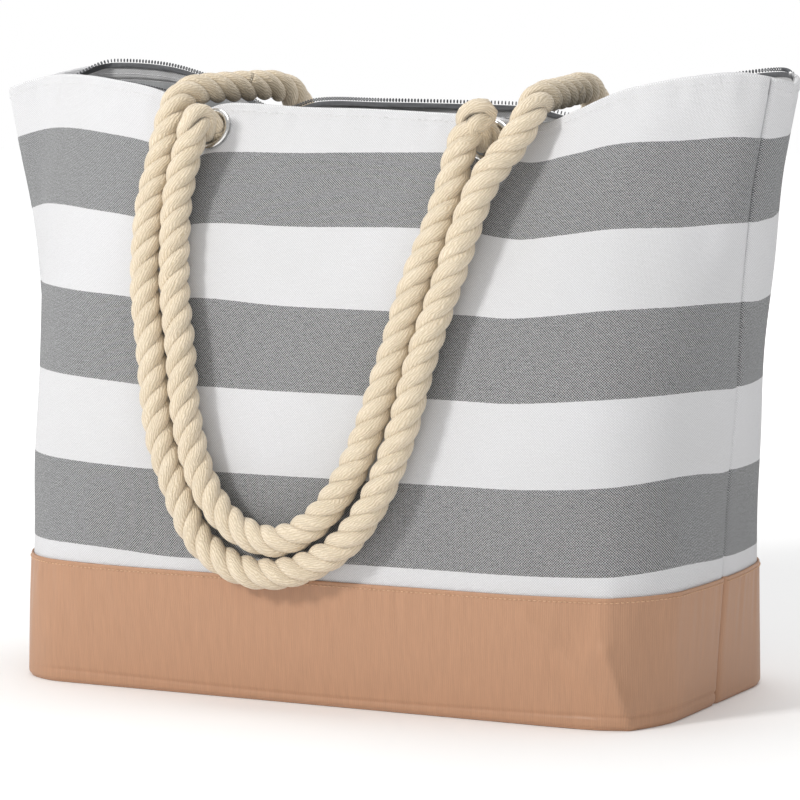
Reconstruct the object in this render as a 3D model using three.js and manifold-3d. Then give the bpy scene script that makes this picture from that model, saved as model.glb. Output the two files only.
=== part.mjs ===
// Beach bag: striped canvas walls on a satin base band, a lining, two rope handles through
// eyelets, and a zip along the mouth. Millimetres, +Z up, +X to the bag's right, front at -Y.
import * as THREE from "three";
import Module from "manifold-3d";

const wasm = await Module();
wasm.setup();

// Driving dimensions
const WALL_HEIGHT = 366; // along the cloth, from the ground to the highest rim
const BASE = { length: 418, depth: 186, corner: 40 };
const BELLY = { length: 442, depth: 228, corner: 102, right: 2, forward: 2 };
const RIM_DROOP = 2.7; // how late, going up, the walls start to follow the rim's dips
const CANVAS = 1.5;
const CLOTH_GAP = 0.6;
const HEM = 8.4;
const BAND_HEIGHT = 73;
const BAND_LAP = 12;
const BAND_CLOTH = 1.2;
const LINING = 0.7;
const BOARD = 2.5;
const ROPE = 17.5;
const EYELET = { bore: 9.4, barrel: 10.2, flange: 14, hole: 10.7, below: 17.5 };
const KNOT = 30;
const TAPE = 0.6;
const COIL = 2.4;

// The rim, seen from above: left seam, along the panel, right seam. Both panels share their ends.
const FRONT_RIM = [
  [-268, 12, 343], [-262, 4, 346], [-236, 2, 353], [-205, -14, 355], [-165, -28, 352],
  [-125, -36, 345], [-101, -40, 333], [-80, -39, 338], [-20, -38, 336], [40, -39, 334],
  [95, -42, 331], [124, -44, 327], [150, -49, 335], [178, -50, 345], [215, -46, 352],
  [242, -36, 354], [258, -20, 350], [264, -6, 346],
];
const BACK_RIM = [
  [-268, 12, 343], [-262, 20, 346], [-238, 22, 354], [-215, 38, 359], [-170, 45, 357],
  [-125, 40, 346], [-82, 30, 330], [-50, 24, 336], [0, 14, 336], [50, 14, 335],
  [90, 20, 333], [118, 26, 327], [150, 35, 338], [205, 44, 349], [240, 36, 352],
  [258, 12, 350], [264, -6, 346],
];

// Where each handle turns, and the way its rope lies at rest.
const FRONT_TURN = { y: -68, z: 318 };
const BACK_TURN = { y: 46, z: 333 };
const FOLD_TURN = { y: -58, z: 331 };
const FRONT_HANDLE = [
  [-86, FRONT_TURN.y, FRONT_TURN.z], [-89, -72, 302], [-91, -76, 284], [-89, -83, 262],
  [-85, -91, 232], [-78, -98, 204], [-70, -105, 160], [-57, -108, 124], [-38, -110, 103],
  [-11, -110, 95], [15, -110, 107], [34, -108, 130], [48, -106, 158], [60, -100, 196],
  [72, -90, 243], [80, -81, 270], [87, -74, 297], [91, FRONT_TURN.y, FRONT_TURN.z],
];
const BACK_HANDLE = [
  [-105, FOLD_TURN.y, FOLD_TURN.z], [-108, -68, 302], [-109, -76, 283], [-108, -83, 261],
  [-104, -92, 232], [-97, -99, 203], [-88, -106, 153], [-79, -108, 129], [-59, -110, 92],
  [-30, -110, 77], [1, -110, 79], [32, -110, 95], [53, -109, 121], [69, -106, 158],
  [79, -101, 197], [92, -91, 243], [108, -76, 297], [119, -66, 315],
  [126, FOLD_TURN.y, FOLD_TURN.z],
];
const LEFT_BRIDGE = [
  [-80, BACK_TURN.y, BACK_TURN.z], [-81, 37, 342], [-84, 24, 346], [-90, 2, 346.5],
  [-97, -22, 346], [-102, -40, 345], [-104.5, -51, 340],
];
const RIGHT_BRIDGE = [
  [117, BACK_TURN.y, BACK_TURN.z], [117.5, 37, 341.5], [119, 24, 344], [122, 0, 343],
  [124.5, -22, 342], [126, -40, 341], [126.5, -51, 338],
];
const EYELETS = {
  front_left: { side: "front", x: -85.5, knot: [-84, -35, 284] },
  front_right: { side: "front", x: 96.5, knot: [95, -38, 278] },
  back_left: { side: "back", x: -80, knot: [-80, 26, 280] },
  back_right: { side: "back", x: 117, knot: [113, 20, 276] },
};
// The closed end of the zip, from the left seam to the slider.
const CHAIN_START = new THREE.Vector3(-255, 12, 342.5);
const CHAIN_END = new THREE.Vector3(-232, 12, 347.5);

const material = (color, roughness, metalness = 0) =>
  new THREE.MeshStandardMaterial({ color, roughness, metalness });
const look = {
  canvas: material(0xd8d8da, 0.9),
  satin: material(0xc4977a, 0.45),
  lining: material(0xb9bbbd, 0.85),
  rope: material(0xe6d3ae, 0.95),
  steel: material(0xc9cbcd, 0.25, 1),
  tape: material(0x55585c, 0.85),
  coil: material(0x4a4d51, 0.5),
  board: material(0xe9e9e6, 0.6),
};

// ---- solids and meshes ----

function solidOf(geometry) {
  const flat = geometry.index ? geometry.toNonIndexed() : geometry;
  const source = flat.attributes.position;
  const index = new Map();
  const points = [];
  const corners = [];
  for (let i = 0; i < source.count; i++) {
    const p = [source.getX(i), source.getY(i), source.getZ(i)];
    const key = p.map((v) => Math.round(v * 1e3)).join();
    if (!index.has(key)) {
      index.set(key, points.length / 3);
      points.push(...p);
    }
    corners.push(index.get(key));
  }
  const triangles = [];
  for (let i = 0; i < corners.length; i += 3) {
    const [a, b, c] = corners.slice(i, i + 3);
    if (a !== b && b !== c && c !== a) triangles.push(a, b, c);
  }
  return new wasm.Manifold(
    new wasm.Mesh({
      numProp: 3,
      vertProperties: new Float32Array(points),
      triVerts: new Uint32Array(triangles),
    }),
  );
}

function geometryOf(solid) {
  const mesh = solid.getMesh();
  const positions = new Float32Array(mesh.numVert * 3);
  for (let i = 0; i < mesh.numVert; i++) {
    const from = i * mesh.numProp;
    positions.set(mesh.vertProperties.subarray(from, from + 3), i * 3);
  }
  return new THREE.BufferGeometry()
    .setAttribute("position", new THREE.BufferAttribute(positions, 3))
    .setIndex(new THREE.BufferAttribute(mesh.triVerts, 1));
}

// A closed sheet between two grids of points, given as functions of u and v.
function slab(outer, inner, us, vs) {
  const positions = [];
  const index = [];
  const [columns, rows] = [us.length, vs.length];
  for (const face of [outer, inner])
    for (const v of vs) for (const u of us) positions.push(...face(u, v));
  const at = (layer, i, j) => layer * columns * rows + j * columns + i;
  const quad = (a, b, c, d) => index.push(a, b, c, a, c, d);
  for (let j = 0; j + 1 < rows; j++)
    for (let i = 0; i + 1 < columns; i++) {
      quad(at(0, i, j), at(0, i + 1, j), at(0, i + 1, j + 1), at(0, i, j + 1));
      quad(at(1, i, j), at(1, i, j + 1), at(1, i + 1, j + 1), at(1, i + 1, j));
    }
  for (let i = 0; i + 1 < columns; i++) {
    const top = rows - 1;
    quad(at(0, i, 0), at(1, i, 0), at(1, i + 1, 0), at(0, i + 1, 0));
    quad(at(0, i, top), at(0, i + 1, top), at(1, i + 1, top), at(1, i, top));
  }
  for (let j = 0; j + 1 < rows; j++) {
    const end = columns - 1;
    quad(at(0, 0, j), at(0, 0, j + 1), at(1, 0, j + 1), at(1, 0, j));
    quad(at(0, end, j), at(1, end, j), at(1, end, j + 1), at(0, end, j + 1));
  }
  return facingOut(positions, index);
}

function facingOut(positions, index) {
  const p = (i) => new THREE.Vector3().fromArray(positions, i * 3);
  let volume = 0;
  for (let i = 0; i < index.length; i += 3)
    volume += p(index[i]).dot(p(index[i + 1]).cross(p(index[i + 2])));
  if (volume < 0)
    for (let i = 0; i < index.length; i += 3)
      [index[i], index[i + 1]] = [index[i + 1], index[i]];
  return new THREE.BufferGeometry()
    .setAttribute("position", new THREE.Float32BufferAttribute(positions, 3))
    .setIndex(index);
}

const steps = (from, to, count) =>
  Array.from({ length: count + 1 }, (_, i) => from + ((to - from) * i) / count);

// A round tube along hand-set points, the same way round as its extrusion.
function tube(points, radius, step = ROPE * 0.8, sides = 10) {
  const path = new THREE.CatmullRomCurve3(
    points.map((p) => new THREE.Vector3(...p)),
    false,
    "centripetal",
  );
  path.arcLengthDivisions = 600;
  const round = new THREE.Shape();
  round.absarc(0, 0, radius, 0, Math.PI * 2);
  return new THREE.ExtrudeGeometry(round, {
    steps: Math.max(2, Math.round(path.getLength() / step)),
    curveSegments: sides / 2,
    bevelEnabled: false,
    extrudePath: path,
  });
}

// ---- the wall surface ----

// Half of a rounded rectangle, from the middle of its left end to the middle of its right end.
function halfOutline({ length, depth, corner, right = 0, forward = 0 }, side, s) {
  const facing = side === "front" ? -1 : 1;
  const arc = (Math.PI / 2) * corner;
  const end = depth / 2 - corner;
  const flat = length - 2 * corner;
  let along = s * (2 * end + 2 * arc + flat);
  let x;
  let y;
  const mirror = along > end + arc + flat / 2;
  if (mirror) along = 2 * end + 2 * arc + flat - along;
  if (along <= end) [x, y] = [-length / 2, along];
  else if (along <= end + arc) {
    const turn = (along - end) / corner;
    x = -length / 2 + corner * (1 - Math.cos(turn));
    y = end + corner * Math.sin(turn);
  } else [x, y] = [-length / 2 + corner + along - end - arc, depth / 2];
  return [(mirror ? -x : x) + right, facing * y - forward];
}

const rims = { front: FRONT_RIM, back: BACK_RIM };
for (const side of Object.keys(rims)) {
  const points = rims[side].map((p) => new THREE.Vector3(...p));
  rims[side] = new THREE.CatmullRomCurve3(points, false, "centripetal");
  rims[side].arcLengthDivisions = 800;
}

function wallPoint(side, s, t) {
  const [bx, by] = halfOutline(BASE, side, s);
  const [mx, my] = halfOutline(BELLY, side, s);
  const rim = rims[side].getPointAt(Math.min(1, Math.max(0, s)));
  const [low, middle, high] = [(1 - t) ** 2, 2 * t * (1 - t), t * t];
  return new THREE.Vector3(
    low * bx + middle * mx + high * rim.x,
    low * by + middle * my + high * rim.y,
    WALL_HEIGHT * t + (rim.z - WALL_HEIGHT) * t ** RIM_DROOP,
  );
}

function wallInward(side, s, t) {
  const d = 0.004;
  const [s0, s1] = [Math.max(0, s - d), Math.min(1, s + d)];
  const [t0, t1] = [Math.max(0, t - d), Math.min(1, t + d)];
  const across = wallPoint(side, s1, t).sub(wallPoint(side, s0, t));
  const up = wallPoint(side, s, t1).sub(wallPoint(side, s, t0));
  const out = side === "front" ? across.cross(up) : up.cross(across);
  return out.normalize().negate();
}

// A point a set depth inside the wall, kept on its own side of the seam near both ends.
function inset(side, s, t, depth, gap = 0.25) {
  const p = wallPoint(side, s, t).addScaledVector(wallInward(side, s, t), depth);
  if (Math.min(s, 1 - s) < 0.04) {
    const seam = wallPoint(side, s < 0.5 ? 0 : 1, t).y;
    p.y = side === "front" ? Math.min(p.y, seam - gap) : Math.max(p.y, seam + gap);
  }
  p.z = Math.max(0, p.z);
  return p.toArray();
}

// Where the wall passes above a given x at a given height share.
function shareAt(side, x, t) {
  let [low, high] = [0, 1];
  for (let i = 0; i < 40; i++) {
    const middle = (low + high) / 2;
    if (wallPoint(side, middle, t).x < x) low = middle;
    else high = middle;
  }
  return (low + high) / 2;
}

const share = (mm) => mm / WALL_HEIGHT;

// ---- cloth ----

// Shared, so that the layers bend at the same places.
const columns = steps(0, 1, 42);
const lap = [share(BAND_HEIGHT - BAND_LAP), share(BAND_HEIGHT)];
const rows = [lap[0], ...steps(lap[1], share(320), 3)];

function canvasPanel(side) {
  const hemmed = (s, t) => (t > 1 - share(HEM) - 1e-6 ? 2 * CANVAS : CANVAS) + 0.3;
  return slab(
    (s, t) => inset(side, s, t, 0.3),
    (s, t) => inset(side, s, t, hemmed(s, t)),
    columns,
    [...rows, 1 - share(HEM + 2), 1 - share(HEM), 1],
  );
}

const baseBand = (side) =>
  slab(
    (s, t) => inset(side, s, t, -BAND_CLOTH),
    (s, t) => inset(side, s, t, 0),
    columns,
    [...steps(0, lap[0], 2), lap[1]],
  );

const liningWall = (side) =>
  slab(
    (s, t) => inset(side, s, t, CANVAS + 0.3 + CLOTH_GAP, 0.4),
    (s, t) => inset(side, s, t, CANVAS + 0.3 + CLOTH_GAP + LINING, 0.4),
    columns,
    [share(6), share(34), ...rows, 1 - share(HEM + 3)],
  );

// A flat rounded plate inside the base outline, from z low to z high.
function basePlate(edge, low, high) {
  const r = BASE.corner - edge;
  const [x, y] = [BASE.length / 2 - BASE.corner, BASE.depth / 2 - BASE.corner];
  const quarter = Math.PI / 2;
  const outline = new THREE.Shape();
  outline.absarc(x, y, r, 0, quarter);
  outline.absarc(-x, y, r, quarter, 2 * quarter);
  outline.absarc(-x, -y, r, 2 * quarter, 3 * quarter);
  outline.absarc(x, -y, r, 3 * quarter, 4 * quarter);
  const settings = { depth: high - low, bevelEnabled: false, curveSegments: 5 };
  return new THREE.ExtrudeGeometry(outline, settings).translate(0, 0, low);
}

// The bound edge of the side seam, a narrow strip inside the lining.
function seamBinding(s) {
  const depth = CANVAS + LINING + CLOTH_GAP + 2;
  const face = (extra) => (u, t) => {
    const seam = wallPoint("front", s, t);
    const inward = s < 0.5 ? 1 : -1;
    return [seam.x + inward * (depth + extra), seam.y + u, seam.z];
  };
  return slab(face(0), face(1), [-3, 3], steps(share(8), 0.7, 7));
}

// ---- eyelets and the fixed rope ends ----

function eyeletPlace({ side, x }) {
  const t = 1 - share(EYELET.below);
  const s = shareAt(side, x, t);
  return { centre: wallPoint(side, s, t), out: wallInward(side, s, t).negate() };
}

function alongNormal(geometry, { centre, out }) {
  const turn = new THREE.Quaternion().setFromUnitVectors(new THREE.Vector3(0, 1, 0), out);
  return geometry.applyQuaternion(turn).translate(...centre.toArray());
}

function ring(profile, place) {
  const points = profile.map((p) => new THREE.Vector2(...p));
  return alongNormal(new THREE.LatheGeometry([...points, points[0]], 16), place);
}

const eyeletRing = (place) =>
  ring(
    [
      [EYELET.bore, -6], [EYELET.barrel, -6], [EYELET.barrel, 1.4], [EYELET.flange, 1.4],
      [EYELET.flange - 0.8, 2.4], [EYELET.bore + 1.4, 3], [EYELET.bore, 2],
    ],
    place,
  );

const washerRing = (place) =>
  ring(
    [
      [EYELET.barrel + 0.4, -5.8], [EYELET.flange - 1, -5.8],
      [EYELET.flange - 1, -4.8], [EYELET.barrel + 0.4, -4.8],
    ],
    place,
  );

function pierced(geometry, side) {
  let solid = solidOf(geometry);
  for (const eyelet of Object.values(EYELETS))
    if (eyelet.side === side) {
      const drill = new THREE.CylinderGeometry(EYELET.hole, EYELET.hole, 30, 16);
      solid = solid.subtract(solidOf(alongNormal(drill, eyeletPlace(eyelet))));
    }
  return geometryOf(solid);
}

// The rope inside its eyelet, its stopper knot and its short tail.
function ropeEnd({ side, x, knot }) {
  const { centre, out } = eyeletPlace({ side, x });
  const along = (d) => centre.clone().addScaledVector(out, d).toArray();
  const below = (d) => [knot[0], knot[1], knot[2] - d];
  const squeezed = ROPE / 2 - 0.6; // by the eyelet
  const rope = tube([along(6), along(0), along(-14), knot, below(30)], squeezed, 6);
  const ball = new THREE.SphereGeometry(KNOT / 2, 14, 10).translate(...knot);
  return geometryOf(solidOf(rope).add(solidOf(ball)));
}

// ---- the zip ----

// Inside the hem, a set depth in from the rim and a set height above it.
function rimOffset(side, s, depth, lift) {
  const p = rims[side].getPointAt(s);
  const tangent = rims[side].getTangentAt(s);
  const level = Math.hypot(tangent.x, tangent.y);
  const facing = side === "front" ? 1 : -1;
  return new THREE.Vector3(
    p.x - (facing * tangent.y * depth) / level,
    p.y + (facing * tangent.x * depth) / level,
    p.z + lift,
  );
}

const ZIP = {
  from: 0.031,
  closed: 0.074,
  open: 0.125,
  to: 0.96,
  front: { depth: 12, lift: -3 },
  back: { depth: 5.6, lift: 1.8 },
};

function coilPoint(side, s) {
  const free = rimOffset(side, s, ZIP[side].depth, ZIP[side].lift);
  if (s >= ZIP.open) return free;
  const along = (s - ZIP.from) / (ZIP.closed - ZIP.from);
  const shut = CHAIN_START.clone().lerp(CHAIN_END, along);
  shut.y += (side === "front" ? -1 : 1) * (COIL / 2 + 0.25);
  if (s <= ZIP.closed) return shut;
  const opening = (s - ZIP.closed) / (ZIP.open - ZIP.closed);
  return shut.lerp(free, opening * opening * (3 - 2 * opening));
}

const zipShares = () => [
  ...steps(ZIP.from, ZIP.open, 9),
  ...steps(ZIP.open, ZIP.to, 36).slice(1),
];

function zipTape(side) {
  const hemEdge = (s) => {
    const opened = THREE.MathUtils.smoothstep(s, ZIP.closed, ZIP.open);
    return rimOffset(side, s, 2 * CANVAS + 1.5, -6.2 + 3.8 * opened);
  };
  const coilEdge = (s) => {
    const p = coilPoint(side, s);
    return p.addScaledVector(hemEdge(s).sub(p).normalize(), COIL * 0.75 + 0.6);
  };
  const face = (offset) => (s, v) => {
    const a = hemEdge(s);
    const b = coilEdge(s);
    const d = 0.002;
    const run = hemEdge(s + d).sub(hemEdge(s - d));
    const normal = run.cross(b.clone().sub(a)).normalize();
    return a.lerp(b, v).addScaledVector(normal, offset).toArray();
  };
  return slab(face(-TAPE / 2), face(TAPE / 2), zipShares(), [0, 1]);
}

function zipCoil(side) {
  const h = COIL / 2;
  const face = (low) => (s, v) => {
    const p = coilPoint(side, s);
    const run = coilPoint(side, s + 0.003).sub(coilPoint(side, s - 0.003)).setZ(0).normalize();
    const across = v ? h : -h;
    return [p.x - run.y * across, p.y + run.x * across, p.z + (low ? -h : h)];
  };
  return slab(face(true), face(false), zipShares(), [0, 1]);
}

const box = (x, y, z) => new THREE.BoxGeometry(x, y, z);
const chainTurn = Math.atan2(CHAIN_START.z - CHAIN_END.z, CHAIN_END.x - CHAIN_START.x);

// Placed on the chain: x forward of the slider's middle, z above the coils' middle.
function onChain(geometry, x = 0, z = 0) {
  geometry.translate(x, 0, z).rotateY(chainTurn);
  return geometry.translate(...CHAIN_END.toArray());
}

const SLIDER_MIDDLE = -5; // before the end of the closed chain

function sliderBody() {
  const clear = COIL / 2 + 0.5;
  const pieces = [
    [box(11, 7.6, 1.2), SLIDER_MIDDLE, clear + 0.6],
    [box(11, 7.6, 1.2), SLIDER_MIDDLE, -clear - 0.6],
    [box(10, 1, 1.2), 4.2, clear + 0.6],
    [box(10, 1, 1.2), 4.2, -clear - 0.6],
    [box(1.4, 1, 2 * clear + 0.4), 8.5, 0],
    [box(1.2, 2, 2.6), SLIDER_MIDDLE - 3, clear + 2.2],
    [box(1.2, 2, 2.6), SLIDER_MIDDLE + 3, clear + 2.2],
    [box(7.2, 2, 1), SLIDER_MIDDLE, clear + 3.6],
  ];
  return geometryOf(
    pieces
      .map(([g, x, z]) => solidOf(onChain(g, x, z)))
      .reduce((whole, piece) => whole.add(piece)),
  );
}

// A flat tab whose window lies round the rear leg of the slider's bail, its end bar under the bail.
function pullTab() {
  const tab = new THREE.Shape();
  tab.moveTo(0.4, -2.6);
  tab.lineTo(0.4, 2.6);
  tab.lineTo(-7, 2.6);
  tab.lineTo(-19, 3.2);
  tab.absarc(-20, 0, 3.2, Math.PI / 2, (3 * Math.PI) / 2);
  tab.lineTo(-7, -2.6);
  tab.closePath();
  const opening = new THREE.Path();
  opening.moveTo(-1, -1.7);
  opening.lineTo(-6.5, -1.7);
  opening.lineTo(-6.5, 1.7);
  opening.lineTo(-1, 1.7);
  opening.closePath();
  tab.holes.push(opening);
  const plate = new THREE.ExtrudeGeometry(tab, { depth: 1, bevelEnabled: false, curveSegments: 5 });
  return onChain(plate.translate(SLIDER_MIDDLE, 0, COIL / 2 + 2.2));
}

const endStop = () =>
  onChain(box(2, 5.6, 3.4), -CHAIN_START.distanceTo(CHAIN_END) - 1.4, 0);

function topStop(side) {
  const p = coilPoint(side, ZIP.to);
  const q = coilPoint(side, ZIP.to + 0.006);
  return box(2.4, 2.4, 2.4).translate(...q.add(q.clone().sub(p).setLength(0.6)).toArray());
}

// ---- assembly ----

const group = new THREE.Group();
function add(name, geometry, finish) {
  const mesh = new THREE.Mesh(geometry, finish);
  mesh.name = name;
  group.add(mesh);
}

for (const side of ["front", "back"]) {
  add(side + "_canvas_panel", pierced(canvasPanel(side), side), look.canvas);
  add(side + "_base_band", baseBand(side), look.satin);
  add(side + "_lining", pierced(liningWall(side), side), look.lining);
  add(side + "_zipper_tape", zipTape(side), look.tape);
  add(side + "_zipper_coil", zipCoil(side), look.coil);
  add(side + "_zipper_stop", topStop(side), look.steel);
}
add("bottom_panel", basePlate(1.2, 0, 1.4), look.satin);
add("base_board", basePlate(4, 1.8, 1.8 + BOARD), look.board);
add("lining_floor", basePlate(4.5, 4.7, 4.7 + LINING), look.lining);
add("left_seam_binding", seamBinding(0), look.lining);
add("right_seam_binding", seamBinding(1), look.lining);
for (const [corner, eyelet] of Object.entries(EYELETS)) {
  const place = eyeletPlace(eyelet);
  add(corner + "_eyelet", eyeletRing(place), look.steel);
  add(corner + "_eyelet_washer", washerRing(place), look.steel);
  add(corner + "_rope_end", ropeEnd(eyelet), look.rope);
}
add("front_handle_rope", tube(FRONT_HANDLE, ROPE / 2), look.rope);
add("back_handle_rope", tube(BACK_HANDLE, ROPE / 2), look.rope);
add("back_handle_left_bridge", tube(LEFT_BRIDGE, ROPE / 2, 8), look.rope);
add("back_handle_right_bridge", tube(RIGHT_BRIDGE, ROPE / 2, 8), look.rope);
add("zipper_slider", sliderBody(), look.steel);
add("zipper_pull", pullTab(), look.steel);
add("zipper_end_stop", endStop(), look.steel);

export default group;
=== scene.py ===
"""Striped canvas beach bag with a satin base band, twisted rope handles, eyelets and a zip along the mouth.

Run as a script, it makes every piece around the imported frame. Sizes are in metres and the frame's own axes:
X along the bag, Y from the front to the back, Z up.
"""

import math

import bmesh
import bpy
import numpy as np
from mathutils import Matrix, Vector


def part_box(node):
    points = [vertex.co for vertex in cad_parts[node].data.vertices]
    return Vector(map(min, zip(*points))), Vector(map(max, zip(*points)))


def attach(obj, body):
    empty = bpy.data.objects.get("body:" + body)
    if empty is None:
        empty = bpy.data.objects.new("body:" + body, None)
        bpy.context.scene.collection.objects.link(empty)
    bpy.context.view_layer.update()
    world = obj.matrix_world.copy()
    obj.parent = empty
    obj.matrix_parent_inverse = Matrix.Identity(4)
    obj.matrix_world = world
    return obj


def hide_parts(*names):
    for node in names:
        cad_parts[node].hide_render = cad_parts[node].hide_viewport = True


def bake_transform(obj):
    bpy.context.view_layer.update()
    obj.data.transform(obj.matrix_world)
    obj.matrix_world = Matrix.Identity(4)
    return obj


bl_info = {
    "name": "Beach Bag",
    "version": (1, 0, 0),
    "blender": (4, 5, 0),
    "location": "View3D > Sidebar > Beach Bag",
    "description": "Makes a striped canvas beach bag with rope handles",
    "category": "Add Mesh",
}

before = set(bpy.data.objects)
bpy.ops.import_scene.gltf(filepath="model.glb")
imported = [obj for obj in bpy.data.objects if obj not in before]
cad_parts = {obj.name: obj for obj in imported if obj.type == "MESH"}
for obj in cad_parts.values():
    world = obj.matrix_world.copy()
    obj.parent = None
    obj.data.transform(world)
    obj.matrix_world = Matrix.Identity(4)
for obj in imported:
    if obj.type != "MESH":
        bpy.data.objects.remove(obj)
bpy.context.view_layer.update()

# ---- measures of the sewn shell, as in the part's source ----

MM = 0.001
WALL = 366 * MM  # along the cloth, from the ground to the highest rim
BASE = {"length": 418 * MM, "depth": 186 * MM, "corner": 40 * MM}
BELLY = {"length": 442 * MM, "depth": 228 * MM, "corner": 102 * MM, "right": 2 * MM, "forward": 2 * MM}
RIM_DROOP = 2.7
BAND = 73 * MM
BAND_LAP = 12 * MM
HEM = 8.4 * MM
FRONT_RIM = [
    (-268, 12, 343), (-262, 4, 346), (-236, 2, 353), (-205, -14, 355), (-165, -28, 352), (-125, -36, 345),
    (-101, -40, 333), (-80, -39, 338), (-20, -38, 336), (40, -39, 334), (95, -42, 331), (124, -44, 327),
    (150, -49, 335), (178, -50, 345), (215, -46, 352), (242, -36, 354), (258, -20, 350), (264, -6, 346),
]
BACK_RIM = [
    (-268, 12, 343), (-262, 20, 346), (-238, 22, 354), (-215, 38, 359), (-170, 45, 357), (-125, 40, 346),
    (-82, 30, 330), (-50, 24, 336), (0, 14, 336), (50, 14, 335), (90, 20, 333), (118, 26, 327),
    (150, 35, 338), (205, 44, 349), (240, 36, 352), (258, 12, 350), (264, -6, 346),
]

# ---- rope routes, in metres ----

FRONT_LEFT_END = [(-0.084, -0.035, 0.254), (-0.084, -0.035, 0.284)]
FRONT_RIGHT_END = [(0.095, -0.038, 0.248), (0.095, -0.038, 0.278)]
BACK_LEFT_END = [(-0.080, 0.026, 0.250), (-0.080, 0.026, 0.280)]
BACK_RIGHT_END = [(0.113, 0.020, 0.246), (0.113, 0.020, 0.276)]
FRONT_LEFT_CURL = [(-0.0850, -0.0590, 0.3310), (-0.0840, -0.0670, 0.3280)]
FRONT_RIGHT_CURL = [(0.0950, -0.0680, 0.3295), (0.1005, -0.0615, 0.3350)]
FRONT_LOOP = [
    (-0.086, -0.068, 0.318), (-0.089, -0.072, 0.302), (-0.091, -0.076, 0.284), (-0.089, -0.083, 0.262),
    (-0.085, -0.091, 0.232), (-0.078, -0.098, 0.204), (-0.070, -0.105, 0.160), (-0.057, -0.108, 0.124),
    (-0.038, -0.110, 0.103), (-0.011, -0.110, 0.095), (0.015, -0.110, 0.107), (0.034, -0.108, 0.130),
    (0.048, -0.106, 0.158), (0.060, -0.100, 0.196), (0.072, -0.090, 0.243), (0.080, -0.081, 0.270),
    (0.087, -0.074, 0.297), (0.091, -0.068, 0.318),
]
BACK_LOOP = [
    (-0.105, -0.058, 0.331), (-0.108, -0.068, 0.302), (-0.109, -0.076, 0.283), (-0.108, -0.083, 0.261),
    (-0.104, -0.092, 0.232), (-0.097, -0.099, 0.203), (-0.088, -0.106, 0.153), (-0.079, -0.108, 0.129),
    (-0.059, -0.110, 0.092), (-0.030, -0.110, 0.077), (0.001, -0.110, 0.079), (0.032, -0.110, 0.095),
    (0.053, -0.109, 0.121), (0.069, -0.106, 0.158), (0.079, -0.101, 0.197), (0.092, -0.091, 0.243),
    (0.108, -0.076, 0.297), (0.119, -0.066, 0.315), (0.126, -0.058, 0.331),
]
LEFT_BRIDGE = [
    (-0.080, 0.046, 0.333), (-0.081, 0.037, 0.342), (-0.084, 0.024, 0.346), (-0.090, 0.002, 0.3465),
    (-0.097, -0.022, 0.346), (-0.102, -0.040, 0.345), (-0.1045, -0.051, 0.340),
]
RIGHT_BRIDGE = [
    (0.117, 0.046, 0.333), (0.1175, 0.037, 0.3415), (0.119, 0.024, 0.344), (0.122, 0, 0.343),
    (0.1245, -0.022, 0.342), (0.126, -0.040, 0.341), (0.1265, -0.051, 0.338),
]

CHAIN_START = np.array((-0.255, 0.012, 0.3425))
CHAIN_END = np.array((-0.232, 0.012, 0.3475))


class BagSizes(bpy.types.PropertyGroup):
    """Sizes that a maker would change"""

    rope: bpy.props.FloatProperty(
        name="Rope", description="Thickness of the twisted rope", default=0.0175, unit="LENGTH")
    lay: bpy.props.FloatProperty(
        name="Lay", description="Length of one full turn of a strand", default=0.0375, unit="LENGTH")
    stripe: bpy.props.FloatProperty(
        name="Stripe", description="Height of one stripe", default=0.050, unit="LENGTH")
    first_stripe: bpy.props.FloatProperty(
        name="First Stripe", description="Height of the lowest dark stripe's foot",
        default=0.084, unit="LENGTH")
    thread: bpy.props.FloatProperty(
        name="Thread", description="Spacing of the canvas threads", default=0.00074, unit="LENGTH")
    band_stitch: bpy.props.FloatProperty(
        name="Band Stitch", description="Pitch of the stitches along the base band",
        default=0.0029, unit="LENGTH")
    rim_stitch: bpy.props.FloatProperty(
        name="Rim Stitch", description="Pitch of the stitches along the rim", default=0.0036, unit="LENGTH")
    tooth: bpy.props.FloatProperty(
        name="Tooth", description="Pitch of the zip teeth", default=0.0021, unit="LENGTH")


def colour_property(name, description, default):
    return bpy.props.FloatVectorProperty(
        name=name, description=description, default=default, size=4, subtype="COLOR", min=0, max=1)


class BagColours(bpy.types.PropertyGroup):
    """Colours that a maker would change"""

    white: colour_property("White", "White stripes", (0.815, 0.815, 0.835, 1))
    grey: colour_property("Grey", "Dark stripes", (0.250, 0.254, 0.260, 1))
    satin: colour_property("Satin", "Base band", (0.425, 0.235, 0.140, 1))
    rope: colour_property("Rope", "Twisted handles", (0.775, 0.66, 0.495, 1))
    lining: colour_property("Lining", "Inside of the bag", (0.40, 0.41, 0.42, 1))
    tape: colour_property("Zip Tape", "Woven tape of the zip", (0.17, 0.175, 0.185, 1))
    stitch: colour_property("Stitch", "Thread along the base band", (0.66, 0.42, 0.26, 1))
    nickel: colour_property("Nickel", "Eyelets, slider and pull", (0.78, 0.77, 0.75, 1))


def sizes():
    return bpy.context.scene.bag_sizes


def colours():
    return bpy.context.scene.bag_colours


# ---- curves and the wall surface ----


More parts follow.
